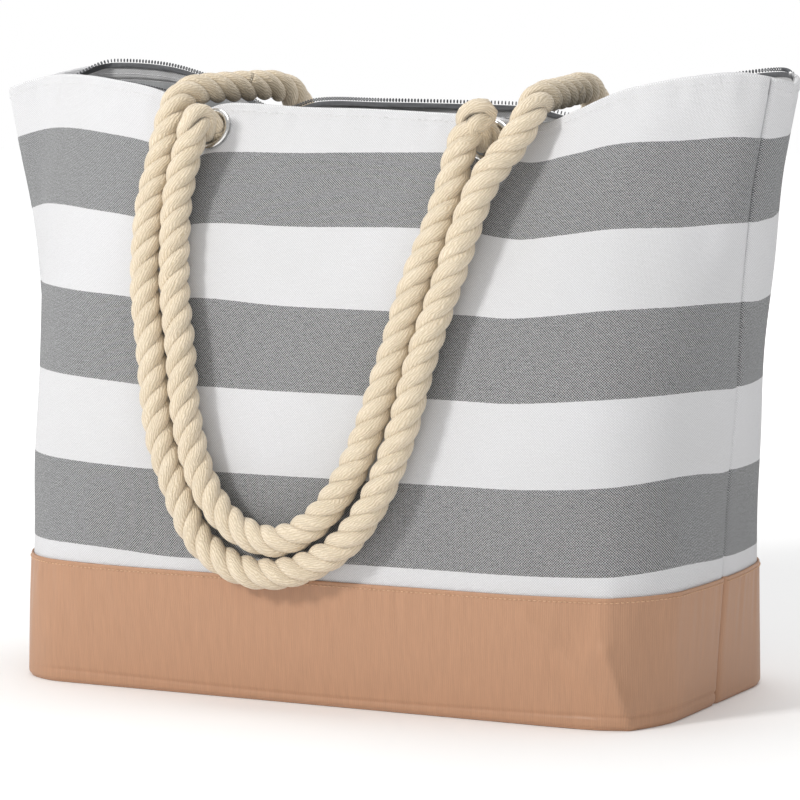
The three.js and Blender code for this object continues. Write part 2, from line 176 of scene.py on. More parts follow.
def rounded(points, per_span=24):
    """A centripetal Catmull-Rom line through the points."""
    points = np.asarray(points, float)
    held = np.vstack([2 * points[0] - points[1], points, 2 * points[-1] - points[-2]])
    line = []
    for p0, p1, p2, p3 in zip(held, held[1:], held[2:], held[3:]):
        a, b, c = (max(1e-4, math.sqrt(np.linalg.norm(q - p))) for p, q in ((p0, p1), (p1, p2), (p2, p3)))
        leave = ((p1 - p0) / a - (p2 - p0) / (a + b) + (p2 - p1) / b) * b
        arrive = ((p2 - p1) / b - (p3 - p1) / (b + c) + (p3 - p2) / c) * b
        for k in range(per_span):
            t = k / per_span
            line.append(
                (2 * t**3 - 3 * t**2 + 1) * p1 + (t**3 - 2 * t**2 + t) * leave
                + (3 * t**2 - 2 * t**3) * p2 + (t**3 - t**2) * arrive)
    line.append(points[-1])
    return np.array(line)


def lengths_along(line):
    return np.r_[0, np.cumsum(np.linalg.norm(np.diff(line, axis=0), axis=1))]


def resampled(line, at):
    along = lengths_along(line)
    return np.stack([np.interp(at, along, line[:, k]) for k in range(3)], axis=-1)


def half_outline(shape, s, back):
    """Half of a rounded rectangle at shares s of its length, as x and y."""
    length, depth, corner = shape["length"], shape["depth"], shape["corner"]
    arc, end, flat = math.pi / 2 * corner, depth / 2 - corner, length - 2 * corner
    total = 2 * end + 2 * arc + flat
    along = s * total
    mirror = along > end + arc + flat / 2
    along = np.where(mirror, total - along, along)
    turn = np.clip((along - end) / corner, 0, math.pi / 2)
    x = -length / 2 + corner * (1 - np.cos(turn)) + np.clip(along - end - arc, 0, None)
    y = np.minimum(along, end) + corner * np.sin(turn)
    x = np.where(mirror, -x, x) + shape.get("right", 0)
    return np.stack([x, (y if back else -y) - shape.get("forward", 0)], axis=-1)


def smooth_bump(x):
    return np.exp(-0.5 * np.square(x))


def fade(x, low, high):
    t = np.clip((x - low) / (high - low), 0, 1)
    return t * t * (3 - 2 * t)


def ridge(u, h, start, end, width, height, blunt=1.0):
    """A soft ridge along a line from start to end, as (share, height), or a dent where height is negative."""
    girth = 574 * MM
    a = np.array((start[0] * girth, start[1] * MM))
    b = np.array((end[0] * girth, end[1] * MM))
    p = np.stack([u * girth, h], axis=-1) - a
    run = b - a
    along = (p @ run) / (run @ run)
    off = np.linalg.norm(p - np.clip(along, 0, 1)[..., None] * run, axis=-1)
    return height * MM * np.exp(-((off / (width * MM)) ** (2 * blunt)))


def drape(u, h):
    """How far the cloth stands out from the plain shell, for shares u round the bag and heights h."""
    front = (u <= 1) * 1.0
    out = 0.45 * MM * np.sin(2 * math.pi * (u * 3.2 + 1.3 * h / WALL) + 0.7) * fade(h, 0.02, 0.09)
    out += 0.35 * MM * np.sin(2 * math.pi * (u * 6.1 - 2.2 * h / WALL) + 2.1) * fade(h, 0.02, 0.12)
    out += 0.30 * MM * np.sin(2 * math.pi * (u * 1.7 + 4.1 * h / WALL) + 4.0) * fade(h, 0.02, 0.12)
    # the creases that run up from the front right corner of the base
    creases = ridge(u, h, (0.846, 0), (0.823, 44), 5.5, 3.0, 0.6)
    creases += ridge(u, h, (0.823, 44), (0.828, 80), 8, 1.4, 0.8)
    creases += ridge(u, h, (0.838, 14), (0.745, 60), 7, 1.7, 0.8)
    creases += ridge(u, h, (0.800, 10), (0.780, 24), 10, -1.4)
    creases += ridge(u, h, (0.800, 66), (0.790, 46), 10, -1.5)
    creases += ridge(u, h, (0.885, 10), (0.870, 55), 13, -1.8)
    creases += ridge(u, h, (0.905, 70), (0.895, 52), 8, 0.8)
    creases += ridge(u, h, (0.828, 84), (0.826, 320), 16, 0.8)
    # the softer corner at the left, and slack under the rim between the handles
    creases += ridge(u, h, (0.150, 4), (0.170, 60), 8, 1.0, 0.8)
    creases += ridge(u, h, (0.250, 66), (0.285, 34), 6, -0.7)
    creases += ridge(u, h, (0.215, 62), (0.235, 40), 7, 0.6)
    creases += ridge(u, h, (0.420, 312), (0.520, 288), 9, 0.9)
    creases += ridge(u, h, (0.470, 322), (0.640, 306), 9, -1.1)
    creases += ridge(u, h, (0.560, 296), (0.620, 318), 8, 0.8)
    creases += ridge(u, h, (0.905, 330), (0.915, 268), 15, -2.0)
    creases += ridge(u, h, (0.860, 352), (0.830, 316), 14, 1.0)
    creases += ridge(u, h, (0.780, 330), (0.820, 300), 12, -0.9)
    creases += ridge(u, h, (0.300, 350), (0.270, 310), 12, 0.9)
    out += front * creases
    # the back has slack of its own
    behind = 2 - u
    slack = ridge(behind, h, (0.17, 0), (0.18, 60), 7, 1.2, 0.8)
    slack += ridge(behind, h, (0.84, 0), (0.82, 60), 7, 1.2, 0.8)
    slack += (ridge(behind, h, (0.30, 60), (0.36, 300), 22, 1.0)
              + ridge(behind, h, (0.62, 320), (0.70, 120), 22, 1.1))
    slack += (ridge(behind, h, (0.42, 330), (0.50, 250), 16, -1.3)
              + ridge(behind, h, (0.78, 300), (0.80, 90), 18, -0.9))
    out += (1 - front) * slack
    # puckers along the rim's hem
    hem = smooth_bump((h - 0.356) / 0.007)
    out += hem * 0.28 * MM * (np.sin(u * 178) + 0.7 * np.sin(u * 291 + 1) + 0.5 * np.sin(u * 97 + 2))
    return out


def band_ribs(u, h):
    """Fine upright wrinkles of the satin, strongest below its stitches, and the fold over the ground seam."""
    high = fade(h, 0.012, 0.066) * (1 - fade(h, 0.0695, 0.0725))
    swing = 0.5 + 0.5 * np.sin(u * 13 + 0.4)
    ribs = np.sin(u * 262 + 3 * np.sin(u * 19)) + 0.8 * np.sin(u * 431 + 1.7) + 0.5 * np.sin(u * 150 + 0.3)
    out = 0.16 * MM * high * ribs * (0.35 + 0.65 * swing)
    out += 0.10 * MM * np.sin(u * 1236) * smooth_bump((h - 0.0665) / 0.0035)
    out -= 0.75 * MM * smooth_bump((h - 0.0066 - 0.0012 * np.sin(u * 9)) / 0.0007) * fade(u % 1, 0.14, 0.22)
    out -= 1.6 * MM * (1 - fade(h, 0, 0.0035)) ** 2
    return out


ROWS = 367
AROUND = 1200


def make_shell():
    """The whole wall as a grid of points and outward directions: rows up the wall, columns round the bag."""
    u = np.arange(AROUND) * 2 / AROUND
    s = np.where(u <= 1, u, 2 - u)
    t = np.linspace(0, 1, ROWS)[:, None, None]
    sides = []
    for back, rim in ((False, FRONT_RIM), (True, BACK_RIM)):
        line = rounded(np.array(rim) * MM, 60)
        edge = resampled(line, s * lengths_along(line)[-1])
        flat = (1 - t) ** 2 * half_outline(BASE, s, back) + 2 * t * (1 - t) * half_outline(BELLY, s, back)
        flat = flat + t**2 * edge[:, :2]
        high = WALL * t[..., 0] + (edge[:, 2] - WALL) * t[..., 0] ** RIM_DROOP
        sides.append(np.concatenate([flat, high[..., None]], axis=-1))
    points = np.where((u <= 1)[None, :, None], sides[0], sides[1])
    # the cloth goes round both ends of the mouth in a small roll, not a knife edge
    reach = np.minimum(np.abs(u - 1), np.minimum(u, 2 - u))
    share = smooth_bump(reach / 0.02)[None, :, None]
    rolled = points
    for _ in range(10):
        rolled = (np.roll(rolled, 2, axis=1) + np.roll(rolled, -2, axis=1) + 2 * rolled) / 4
    points = points * (1 - share) + rolled * share
    heights = np.linspace(0, WALL, ROWS)[:, None] * np.ones(AROUND)
    points = points + outward(points) * drape(u[None, :] * np.ones((ROWS, 1)), heights)[..., None]
    return points, outward(points)


def outward(points):
    across = np.roll(points, -1, axis=1) - np.roll(points, 1, axis=1)
    up = np.gradient(points, axis=0)
    n = np.cross(across, up)
    return n / np.linalg.norm(n, axis=-1, keepdims=True)


SHELL = make_shell()


def on_wall(u, t, depth=0.0):
    """Points a set depth inside the wall at shares u round the bag and t up it."""
    column = np.asarray(u, float) % 2 * AROUND / 2
    row = np.clip(np.asarray(t, float), 0, 1) * (ROWS - 1)
    c0, r0 = np.floor(column).astype(int), np.minimum(np.floor(row).astype(int), ROWS - 2)
    fc, fr = (column - c0)[..., None], (row - r0)[..., None]
    c0, c1 = c0 % AROUND, (c0 + 1) % AROUND
    place, out = (
        (g[r0, c0] * (1 - fc) + g[r0, c1] * fc) * (1 - fr)
        + (g[r0 + 1, c0] * (1 - fc) + g[r0 + 1, c1] * fc) * fr
        for g in SHELL)
    return place - out * np.asarray(depth, float)[..., None]


def seam_shift(t):
    """How far the right side seam has been pulled round to the front, as a share of the front."""
    return 0.034 * fade(t, 0.25, 0.85)


# ---- meshes ----


def new_mesh(name, points, faces, smooth=True):
    mesh = bpy.data.meshes.new(name)
    mesh.from_pydata([tuple(p) for p in points], [], faces)
    mesh.validate()
    mesh.update()
    if smooth:
        mesh.shade_smooth()
    thing = bpy.data.objects.new(name, mesh)
    bpy.context.scene.collection.objects.link(thing)
    return thing


def face_outward(thing):
    work = bmesh.new()
    work.from_mesh(thing.data)
    bmesh.ops.recalc_face_normals(work, faces=work.faces)
    work.to_mesh(thing.data)
    work.free()


def write_uv(thing, name, values):
    """A UV map from one pair of numbers for each vertex."""
    layer = thing.data.uv_layers.new(name=name)
    corners = np.empty(len(thing.data.loops), np.int32)
    thing.data.loops.foreach_get("vertex_index", corners)
    layer.data.foreach_set("uv", np.asarray(values, np.float32)[corners].ravel())


def cloth(name, outer, inner, fold=0, holes=()):
    """A closed cloth piece between an outer and an inner face, with a round fold joining their top edges.

    outer and inner are (points, uv) grids of the same shape, rows up and columns across.
    """
    (front, front_uv), (behind, behind_uv) = outer, inner
    rows, columns = front.shape[:2]
    points = [front.reshape(-1, 3), behind.reshape(-1, 3)]
    uvs = [front_uv.reshape(-1, 2), behind_uv.reshape(-1, 2)]
    cut = np.zeros((rows - 1, columns - 1), bool)
    middles = (front[:-1, :-1] + front[1:, 1:] + front[:-1, 1:] + front[1:, :-1]) / 4
    for centre, out, radius in holes:
        off = middles - centre
        off = off - (off @ out)[..., None] * out
        near = np.linalg.norm(middles - centre, axis=-1) < 2 * radius
        cut |= (np.linalg.norm(off, axis=-1) < radius) & near
    n = rows * columns
    faces = []
    for i in range(rows - 1):
        for j in range(columns - 1):
            if cut[i, j]:
                continue
            a, b = i * columns + j, i * columns + j + 1
            c, d = b + columns, a + columns
            faces.append((a, b, c, d))
            faces.append((a + n, d + n, c + n, b + n))
            for di, dj, p, q in ((-1, 0, b, a), (1, 0, d, c), (0, -1, a, d), (0, 1, c, b)):
                ii, jj = i + di, j + dj
                inside = 0 <= ii < rows - 1 and 0 <= jj < columns - 1
                if (inside and cut[ii, jj]) or (not inside and not (di == 1 and fold)):
                    faces.append((p, q, q + n, p + n))
    if fold:
        top, under = front[-1], behind[-1]
        rise = front[-1] - front[-2]
        rise /= np.linalg.norm(rise, axis=-1, keepdims=True)
        middle, half = (top + under) / 2, (top - under) / 2
        reach = np.linalg.norm(half, axis=-1, keepdims=True)
        last = [(rows - 1) * columns + j for j in range(columns)]
        count = 2 * n
        for k in range(1, fold + 1):
            turn = math.pi * k / (fold + 1)
            points.append(middle + half * math.cos(turn) + rise * reach * math.sin(turn))
            uvs.append(front_uv[-1] + np.array((0, 1)) * reach * (1 - math.cos(turn)))
            here = list(range(count, count + columns))
            faces += [(last[j], last[j + 1], here[j + 1], here[j]) for j in range(columns - 1)]
            last, count = here, count + columns
        end = [n + (rows - 1) * columns + j for j in range(columns)]
        faces += [(last[j], last[j + 1], end[j + 1], end[j]) for j in range(columns - 1)]
        for j in (0, columns - 1):
            rim = [(rows - 1) * columns + j] + [2 * n + k * columns + j for k in range(fold)] + [end[j]]
            faces.append(tuple(rim if j else rim[::-1]))
    points = np.vstack(points)
    for centre, out, radius in holes:
        edge = open_rim_points(cut, rows, columns)
        off = points[edge] - centre
        near = np.linalg.norm(off, axis=-1) < 1.8 * radius
        edge, off = edge[near], off[near]
        along = (off @ out)[:, None] * out
        flat = off - along
        scale = (radius - 0.0006) / np.linalg.norm(flat, axis=-1, keepdims=True)
        points[edge] = centre + along + flat * scale
    used = np.unique(np.concatenate([np.array(f) for f in faces]))
    place = np.full(len(points), -1)
    place[used] = np.arange(len(used))
    thing = new_mesh(name, points[used], [tuple(int(place[k]) for k in f) for f in faces])
    face_outward(thing)
    write_uv(thing, "Cloth", np.vstack(uvs)[used])
    return thing


def open_rim_points(cut, rows, columns):
    """The vertices on the edge of the cut-out cells, on both faces."""
    touched, kept = np.zeros((rows, columns), bool), np.zeros((rows, columns), bool)
    for di in (0, 1):
        for dj in (0, 1):
            touched[di:rows - 1 + di, dj:columns - 1 + dj] |= cut
            kept[di:rows - 1 + di, dj:columns - 1 + dj] |= ~cut
    edge = np.flatnonzero((touched & kept).ravel())
    return np.concatenate([edge, edge + rows * columns])


def columns_between(low, high, count, ends=0.004):
    """Shares with closer columns near both ends."""
    middle = np.linspace(low + ends, high - ends, count)
    step = np.array((0, 0.0006, 0.0013, 0.0022, 0.003))
    return np.concatenate([low + step, middle, (high - step)[::-1]])


def tube_faces(rings, sides, start=0):
    faces = []
    for i in range(rings - 1):
        for j in range(sides):
            k = (j + 1) % sides
            a, b = start + i * sides, start + (i + 1) * sides
            faces.append((a + j, a + k, b + k, b + j))
    faces.append(tuple(start + j for j in range(sides))[::-1])
    faces.append(tuple(start + (rings - 1) * sides + j for j in range(sides)))
    return faces


def carried_frames(line):
    """Directions across a line that turn with it and don't twist about it."""
    run = np.gradient(line, axis=0)
    run /= np.linalg.norm(run, axis=1, keepdims=True)
    side = np.cross(run[0], (0, 0, 1) if abs(run[0][2]) < 0.9 else (1, 0, 0))
    sides = [side / np.linalg.norm(side)]
    for a, b in zip(run, run[1:]):
        axis = np.cross(a, b)
        size = np.linalg.norm(axis)
        v = sides[-1]
        if size > 1e-9:
            axis, angle = axis / size, math.atan2(size, a @ b)
            v = (v * math.cos(angle) + np.cross(axis, v) * math.sin(angle)
                 + axis * (axis @ v) * (1 - math.cos(angle)))
        v = v - b * (v @ b)
        sides.append(v / np.linalg.norm(v))
    sides = np.array(sides)
    return run, sides, np.cross(run, sides)


class Rope:
    """A three-strand rope along a line, from which any stretch can be made as one mesh."""

    def __init__(self, points, thickness):
        line = rounded(points, 40)
        total = lengths_along(line)[-1]
        count = int(total / 0.0005)
        line = resampled(line, np.linspace(0, total, count))
        for _ in range(50):
            line[1:-1] = (line[:-2] + 2 * line[1:-1] + line[2:]) / 4
        self.line, self.along, self.thickness = line, lengths_along(line), thickness
        self.frames = carried_frames(line)

    def nearest(self, point):
        return float(self.along[np.linalg.norm(self.line - np.asarray(point), axis=1).argmin()])

    def at(self, along):
        return resampled(self.line, along)

    def path(self, start, end, step=0.004):
        return self.at(np.linspace(start, end, max(8, int((end - start) / step))))

    def stretch(self, name, start, end, step=0.00125, sides=18):
        lay = sizes().lay
        scale = self.thickness / 0.0175
        along = np.linspace(start, end, int((end - start) / step) + 1)
        centre = self.at(along)
        _, across, other = (
            np.stack([np.interp(along, self.along, f[:, k]) for k in range(3)], -1) for f in self.frames)
        points, faces, uvs, alongs = [], [], [], []
        for strand in range(3):
            turn = 2 * math.pi * along / lay + strand * 2 * math.pi / 3
            outward_way = across * np.cos(turn)[:, None] + other * np.sin(turn)[:, None]
            # a real strand is never quite even
            swell = 1 + 0.018 * np.sin(along * 210 + strand * 2.1) + 0.012 * np.sin(along * 530 + strand)
            middle = centre + outward_way * 4.7 * MM * scale
            way = np.gradient(middle, axis=0)
            way /= np.linalg.norm(way, axis=1, keepdims=True)
            out = outward_way - way * np.sum(outward_way * way, axis=1, keepdims=True)
            out /= np.linalg.norm(out, axis=1, keepdims=True)
            beside = np.cross(way, out)
            v = np.arange(sides) / sides
            # flatter towards the rope's heart, fuller towards its outside
            lift = np.cos(2 * math.pi * v) * np.where(np.cos(2 * math.pi * v) > 0, 4.4, 3.9)
            width = np.sin(2 * math.pi * v) * 4.6 * (1 - 0.04 * np.cos(4 * math.pi * v))
            ring = (out[:, None] * lift[None, :, None] + beside[:, None] * width[None, :, None]) * MM * scale
            ring *= swell[:, None, None]
            start_at = sum(len(p) for p in points)
            points.append((middle[:, None] + ring).reshape(-1, 3))
            faces += tube_faces(len(along), sides, start_at)
            uv = np.stack(np.broadcast_arrays((along / lay)[:, None], v[None, :] + strand * 0.137), axis=-1)
            uvs.append(uv.reshape(-1, 2))
            alongs.append(np.repeat(along, sides))
        thing = new_mesh(name, np.vstack(points), faces)
        face_outward(thing)
        write_rope_uv(thing, np.vstack(uvs), sides)
        self.last_alongs = np.concatenate(alongs)
        return thing


def write_rope_uv(thing, values, sides):
    """A UV map whose second number runs on past the join of each ring, so nothing is squeezed there."""
    layer = thing.data.uv_layers.new(name="Strand")
    corners = np.empty(len(thing.data.loops), np.int32)
    thing.data.loops.foreach_get("vertex_index", corners)
    uv = np.asarray(values, np.float32)[corners].reshape(-1, 2).copy()
    place = corners % sides
    starts = np.array([p.loop_start for p in thing.data.polygons])
    counts = np.array([p.loop_total for p in thing.data.polygons])
    for first, count in zip(starts[counts == 4], counts[counts == 4]):
        here = place[first:first + count]
        if here.min() == 0 and here.max() == sides - 1:
            uv[first:first + count, 1] += np.where(here == 0, 1.0, 0.0)
    layer.data.foreach_set("uv", uv.ravel())


def weigh(alongs, spans):
    """Works out how far each point of a blended rope would follow its second body, from spans of (along, weight)
    pairs; the result is neither kept nor set on the rope.
    """
    weights = np.interp(alongs, [a for a, _ in spans], [w for _, w in spans])
    weights = weights * weights * (3 - 2 * weights)


# ---- materials ----


class Shade:
    """A material's or a group's nodes, added one line at a time."""

    def __init__(self, tree):
        self.tree = tree

    def add(self, kind, values=(), **settings):
        node = self.tree.nodes.new(kind)
        for key, value in settings.items():
            setattr(node, key, value)
        for key, value in dict(values).items():
            socket = node.inputs[key]
            if isinstance(value, bpy.types.NodeSocket):
                self.tree.links.new(value, socket)
            else:
                socket.default_value = value
        return node

    def sum(self, kind, a, b=0.0, c=0.0):
        return self.add("ShaderNodeMath", {0: a, 1: b, 2: c}, operation=kind).outputs[0]

    def mix(self, share, a, b):
        return self.add("ShaderNodeMix", {0: share, 6: a, 7: b}, data_type="RGBA").outputs[2]

    def remap(self, value, from_low, from_high, to_low=0.0, to_high=1.0):
        node = self.add("ShaderNodeMapRange", {0: value, 1: from_low, 2: from_high, 3: to_low, 4: to_high})
        return node.outputs[0]

    def noise(self, vector, scale, detail=3.0, roughness=0.55):
        return self.add("ShaderNodeTexNoise", {
            "Vector": vector, "Scale": scale, "Detail": detail, "Roughness": roughness}).outputs["Fac"]


def new_material(name, **constants):
    """A material, its builder and its one surface shader, whose constants are set on its own sockets."""
    made = bpy.data.materials.new(name)
    made.use_nodes = True
    shade = Shade(made.node_tree)
    surface = made.node_tree.nodes["Principled BSDF"]
    for key, value in constants.items():
        surface.inputs[key.replace("_", " ")].default_value = value
    return made, shade, surface


def join(shade, surface, **sockets):
    for key, socket in sockets.items():
        shade.tree.links.new(socket, surface.inputs[key.replace("_", " ")])


def new_group(name, inputs, outputs):
    tree = bpy.data.node_groups.new(name, "ShaderNodeTree")
    for label, kind, value in inputs:
        socket = tree.interface.new_socket(label, in_out="INPUT", socket_type=kind)
        if value is not None:
            socket.default_value = value
    for label, kind in outputs:
        tree.interface.new_socket(label, in_out="OUTPUT", socket_type=kind)
    shade = Shade(tree)
    return tree, shade, shade.add("NodeGroupInput"), shade.add("NodeGroupOutput")


def weave_group():
    """Crossing threads: how high each stands, which way it runs and how its shade varies."""
    if "Woven Threads" in bpy.data.node_groups:
        return bpy.data.node_groups["Woven Threads"]
    tree, shade, source, result = new_group(
        "Woven Threads",
        [("Vector", "NodeSocketVector", None), ("Spacing", "NodeSocketFloat", 0.0006), ("Slub", "NodeSocketFloat", 0.5)],
        [("Height", "NodeSocketFloat"), ("Over", "NodeSocketFloat"), ("Thread", "NodeSocketFloat")])
    split = shade.add("ShaderNodeSeparateXYZ", {0: source.outputs["Vector"]})
    wander = shade.sum("MULTIPLY", shade.sum(
        "SUBTRACT", shade.noise(source.outputs["Vector"], 90.0, 2.0), 0.5), source.outputs["Slub"])
    x = shade.sum("ADD", shade.sum("DIVIDE", split.outputs[0], source.outputs["Spacing"]), wander)
    y = shade.sum("ADD", shade.sum("DIVIDE", split.outputs[1], source.outputs["Spacing"]), wander)
    wave_x = shade.sum("SINE", shade.sum("MULTIPLY", x, math.pi))
    wave_y = shade.sum("SINE", shade.sum("MULTIPLY", y, math.pi))
    over = shade.sum("MULTIPLY_ADD", shade.sum("MULTIPLY", wave_x, wave_y), 0.5, 0.5)
    dome_x, dome_y = shade.sum("ABSOLUTE", wave_x), shade.sum("ABSOLUTE", wave_y)
    height = shade.sum("MULTIPLY", shade.sum("POWER", dome_x, 0.5), shade.sum("POWER", dome_y, 0.5))
    warp = shade.add("ShaderNodeTexWhiteNoise", {"W": shade.sum("FLOOR", x)}, noise_dimensions="1D").outputs[0]
    weft = shade.add("ShaderNodeTexWhiteNoise", {
        "W": shade.sum("ADD", shade.sum("FLOOR", y), 7.5)}, noise_dimensions="1D").outputs[0]
    thread = shade.sum("ADD", shade.sum("MULTIPLY", warp, over), shade.sum(
        "MULTIPLY", weft, shade.sum("SUBTRACT", 1.0, over)))
    for label, socket in (("Height", height), ("Over", over), ("Thread", thread)):
        tree.links.new(socket, result.inputs[label])
    return tree


def woven(shade, vector, spacing, slub=0.5):
    return shade.add("ShaderNodeGroup", {"Vector": vector, "Spacing": spacing, "Slub": slub},
                     node_tree=weave_group())


def canvas_material():
    """Heavy striped canvas: white and flecked grey threads, both with a little relief."""
    made, shade, surface = new_material("Striped Canvas", Roughness=0.92, Sheen_Weight=0.12, Sheen_Roughness=0.6,
                                        Specular_IOR_Level=0.25)
    uv = shade.add("ShaderNodeUVMap", uv_map="Cloth").outputs[0]
    threads = woven(shade, uv, sizes().thread, 0.35)
    height = shade.add("ShaderNodeSeparateXYZ", {0: uv}).outputs[1]
    edge = shade.sum("MULTIPLY", shade.sum("SUBTRACT", shade.noise(uv, 700.0, 2.0), 0.5), 0.0009)
    rise = shade.sum("SUBTRACT", shade.sum("ADD", height, edge), sizes().first_stripe)
    place = shade.sum("FLOORED_MODULO", shade.sum("DIVIDE", rise, 2 * sizes().stripe), 1.0)
    dark = shade.sum("MULTIPLY", shade.sum("LESS_THAN", place, 0.5), shade.sum("GREATER_THAN", rise, 0.0))
    speck = shade.noise(uv, 1050.0, 2.0, 0.8)
    slub = shade.noise(shade.add("ShaderNodeMapping", {0: uv, 3: (160, 900, 1)}).outputs[0], 1.0, 2.0)
    cross = shade.remap(threads.outputs["Over"], 0.2, 0.8)
    grey_share = shade.sum("ADD", shade.sum("MULTIPLY", cross, 0.42), shade.sum("MULTIPLY", speck, 0.62))
    grey_share = shade.sum("ADD", grey_share, shade.sum("MULTIPLY", slub, 0.16))
    grey_share = shade.remap(grey_share, 0.44, 0.82)
    grey_high = tuple(min(1, c * 2.1 + 0.03) for c in colours().grey[:3]) + (1,)
    grey_low = tuple(c * 0.16 for c in colours().grey[:3]) + (1,)
    grey = shade.mix(grey_share, grey_low, grey_high)
    white_low = tuple(c * 0.80 for c in colours().white[:3]) + (1,)
    white = shade.mix(shade.remap(grey_share, 0.0, 0.8), white_low, tuple(colours().white))
    striped = shade.mix(dark, white, grey)
    # painted shade: the colour is darkened by up to a fifth where the threads lie low, in the gaps between them
    gap = shade.remap(threads.outputs["Height"], 0.0, 0.55, 0.80, 1.0)
    soil = shade.remap(shade.noise(uv, 9.0, 4.0), 0.3, 0.7, 0.965, 1.0)
    painted_gap_shade = shade.add("ShaderNodeCombineColor", {0: gap, 1: gap, 2: gap}).outputs[0]
    cloth_colour = shade.add("ShaderNodeMix", {0: 1.0, 6: striped, 7: painted_gap_shade}, data_type="RGBA",
                             blend_type="MULTIPLY").outputs[2]
    yellowed = shade.sum("POWER", soil, 1.3)
    soiled = shade.add("ShaderNodeCombineColor", {0: soil, 1: soil, 2: yellowed}).outputs[0]
    cloth_colour = shade.add("ShaderNodeMix", {0: 1.0, 6: cloth_colour, 7: soiled}, data_type="RGBA",
                             blend_type="MULTIPLY").outputs[2]
    relief = shade.sum("ADD", threads.outputs["Height"], shade.sum("MULTIPLY", speck, 0.7))
    bump = shade.add("ShaderNodeBump", {"Height": relief, "Strength": 0.7, "Distance": 0.0004}).outputs[0]
    rough = shade.remap(threads.outputs["Thread"], 0.0, 1.0, 0.84, 0.97)
    join(shade, surface, Base_Color=cloth_colour, Normal=bump, Roughness=rough)
    return made


def satin_material():
    """Satin with fine upright ribs and a soft lustre."""
    made, shade, surface = new_material("Base Satin", Sheen_Weight=0.03, Sheen_Roughness=0.35,
                                        Specular_IOR_Level=0.42, Anisotropic=0.5)
    uv = shade.add("ShaderNodeUVMap", uv_map="Cloth").outputs[0]
    split = shade.add("ShaderNodeSeparateXYZ", {0: uv})
    wander = shade.sum("MULTIPLY", shade.sum("SUBTRACT", shade.noise(uv, 60.0, 2.0), 0.5), 0.0016)
    swayed = shade.sum("ADD", split.outputs[0], wander)
    rib = shade.sum("SINE", shade.sum("MULTIPLY", swayed, 2 * math.pi / 0.00125))
    fine = shade.noise(shade.add("ShaderNodeMapping", {0: uv, 3: (2600, 70, 1)}).outputs[0], 1.0, 3.0)
    broad = shade.noise(shade.add("ShaderNodeMapping", {0: uv, 3: (420, 40, 1)}).outputs[0], 1.0, 3.0)
    share = shade.sum("ADD", shade.sum("MULTIPLY", fine, 0.55), shade.sum("MULTIPLY", broad, 0.45))
    share = shade.sum("MULTIPLY_ADD", rib, 0.06, share)
    low = tuple(c * 0.90 for c in colours().satin[:3]) + (1,)
    high = tuple(min(1, c * 1.10) for c in colours().satin[:3]) + (1,)
    colour = shade.mix(shade.remap(share, 0.3, 0.7), low, high)
    relief = shade.sum("ADD", shade.sum("MULTIPLY", rib, 0.35), shade.sum("MULTIPLY", fine, 1.0))
    bump = shade.add("ShaderNodeBump", {"Height": relief, "Strength": 0.35, "Distance": 0.0002}).outputs[0]
    rough = shade.remap(share, 0.3, 0.7, 0.36, 0.50)
    join(shade, surface, Base_Color=colour, Normal=bump, Roughness=rough)
    return made


def cloth_material(name, colour, spacing, roughness=0.88, relief=0.4):
    """A plain woven cloth of one colour, with uneven threads and painted shade in the gaps between them."""
    made, shade, surface = new_material(name, Sheen_Weight=0.1, Specular_IOR_Level=0.3)
    uv = shade.add("ShaderNodeUVMap", uv_map="Cloth").outputs[0]
    threads = woven(shade, uv, spacing, 0.3)
    low, high = (tuple(min(1, c * k) for c in colour[:3]) + (1,) for k in (0.72, 1.2))
    # partly the threads' own uneven colour, partly painted shade that darkens the cloth where the threads lie low
    share = shade.sum("ADD", shade.sum("MULTIPLY", threads.outputs["Thread"], 0.5),
                      shade.sum("MULTIPLY", threads.outputs["Height"], 0.5))
    tint = shade.mix(shade.remap(share, 0.1, 0.85), low, high)
    bump = shade.add("ShaderNodeBump", {
        "Height": threads.outputs["Height"], "Strength": relief, "Distance": 0.0002}).outputs[0]
    rough = shade.remap(threads.outputs["Thread"], 0, 1, roughness - 0.06, roughness + 0.06)
    join(shade, surface, Base_Color=tint, Normal=bump, Roughness=rough)
    return made


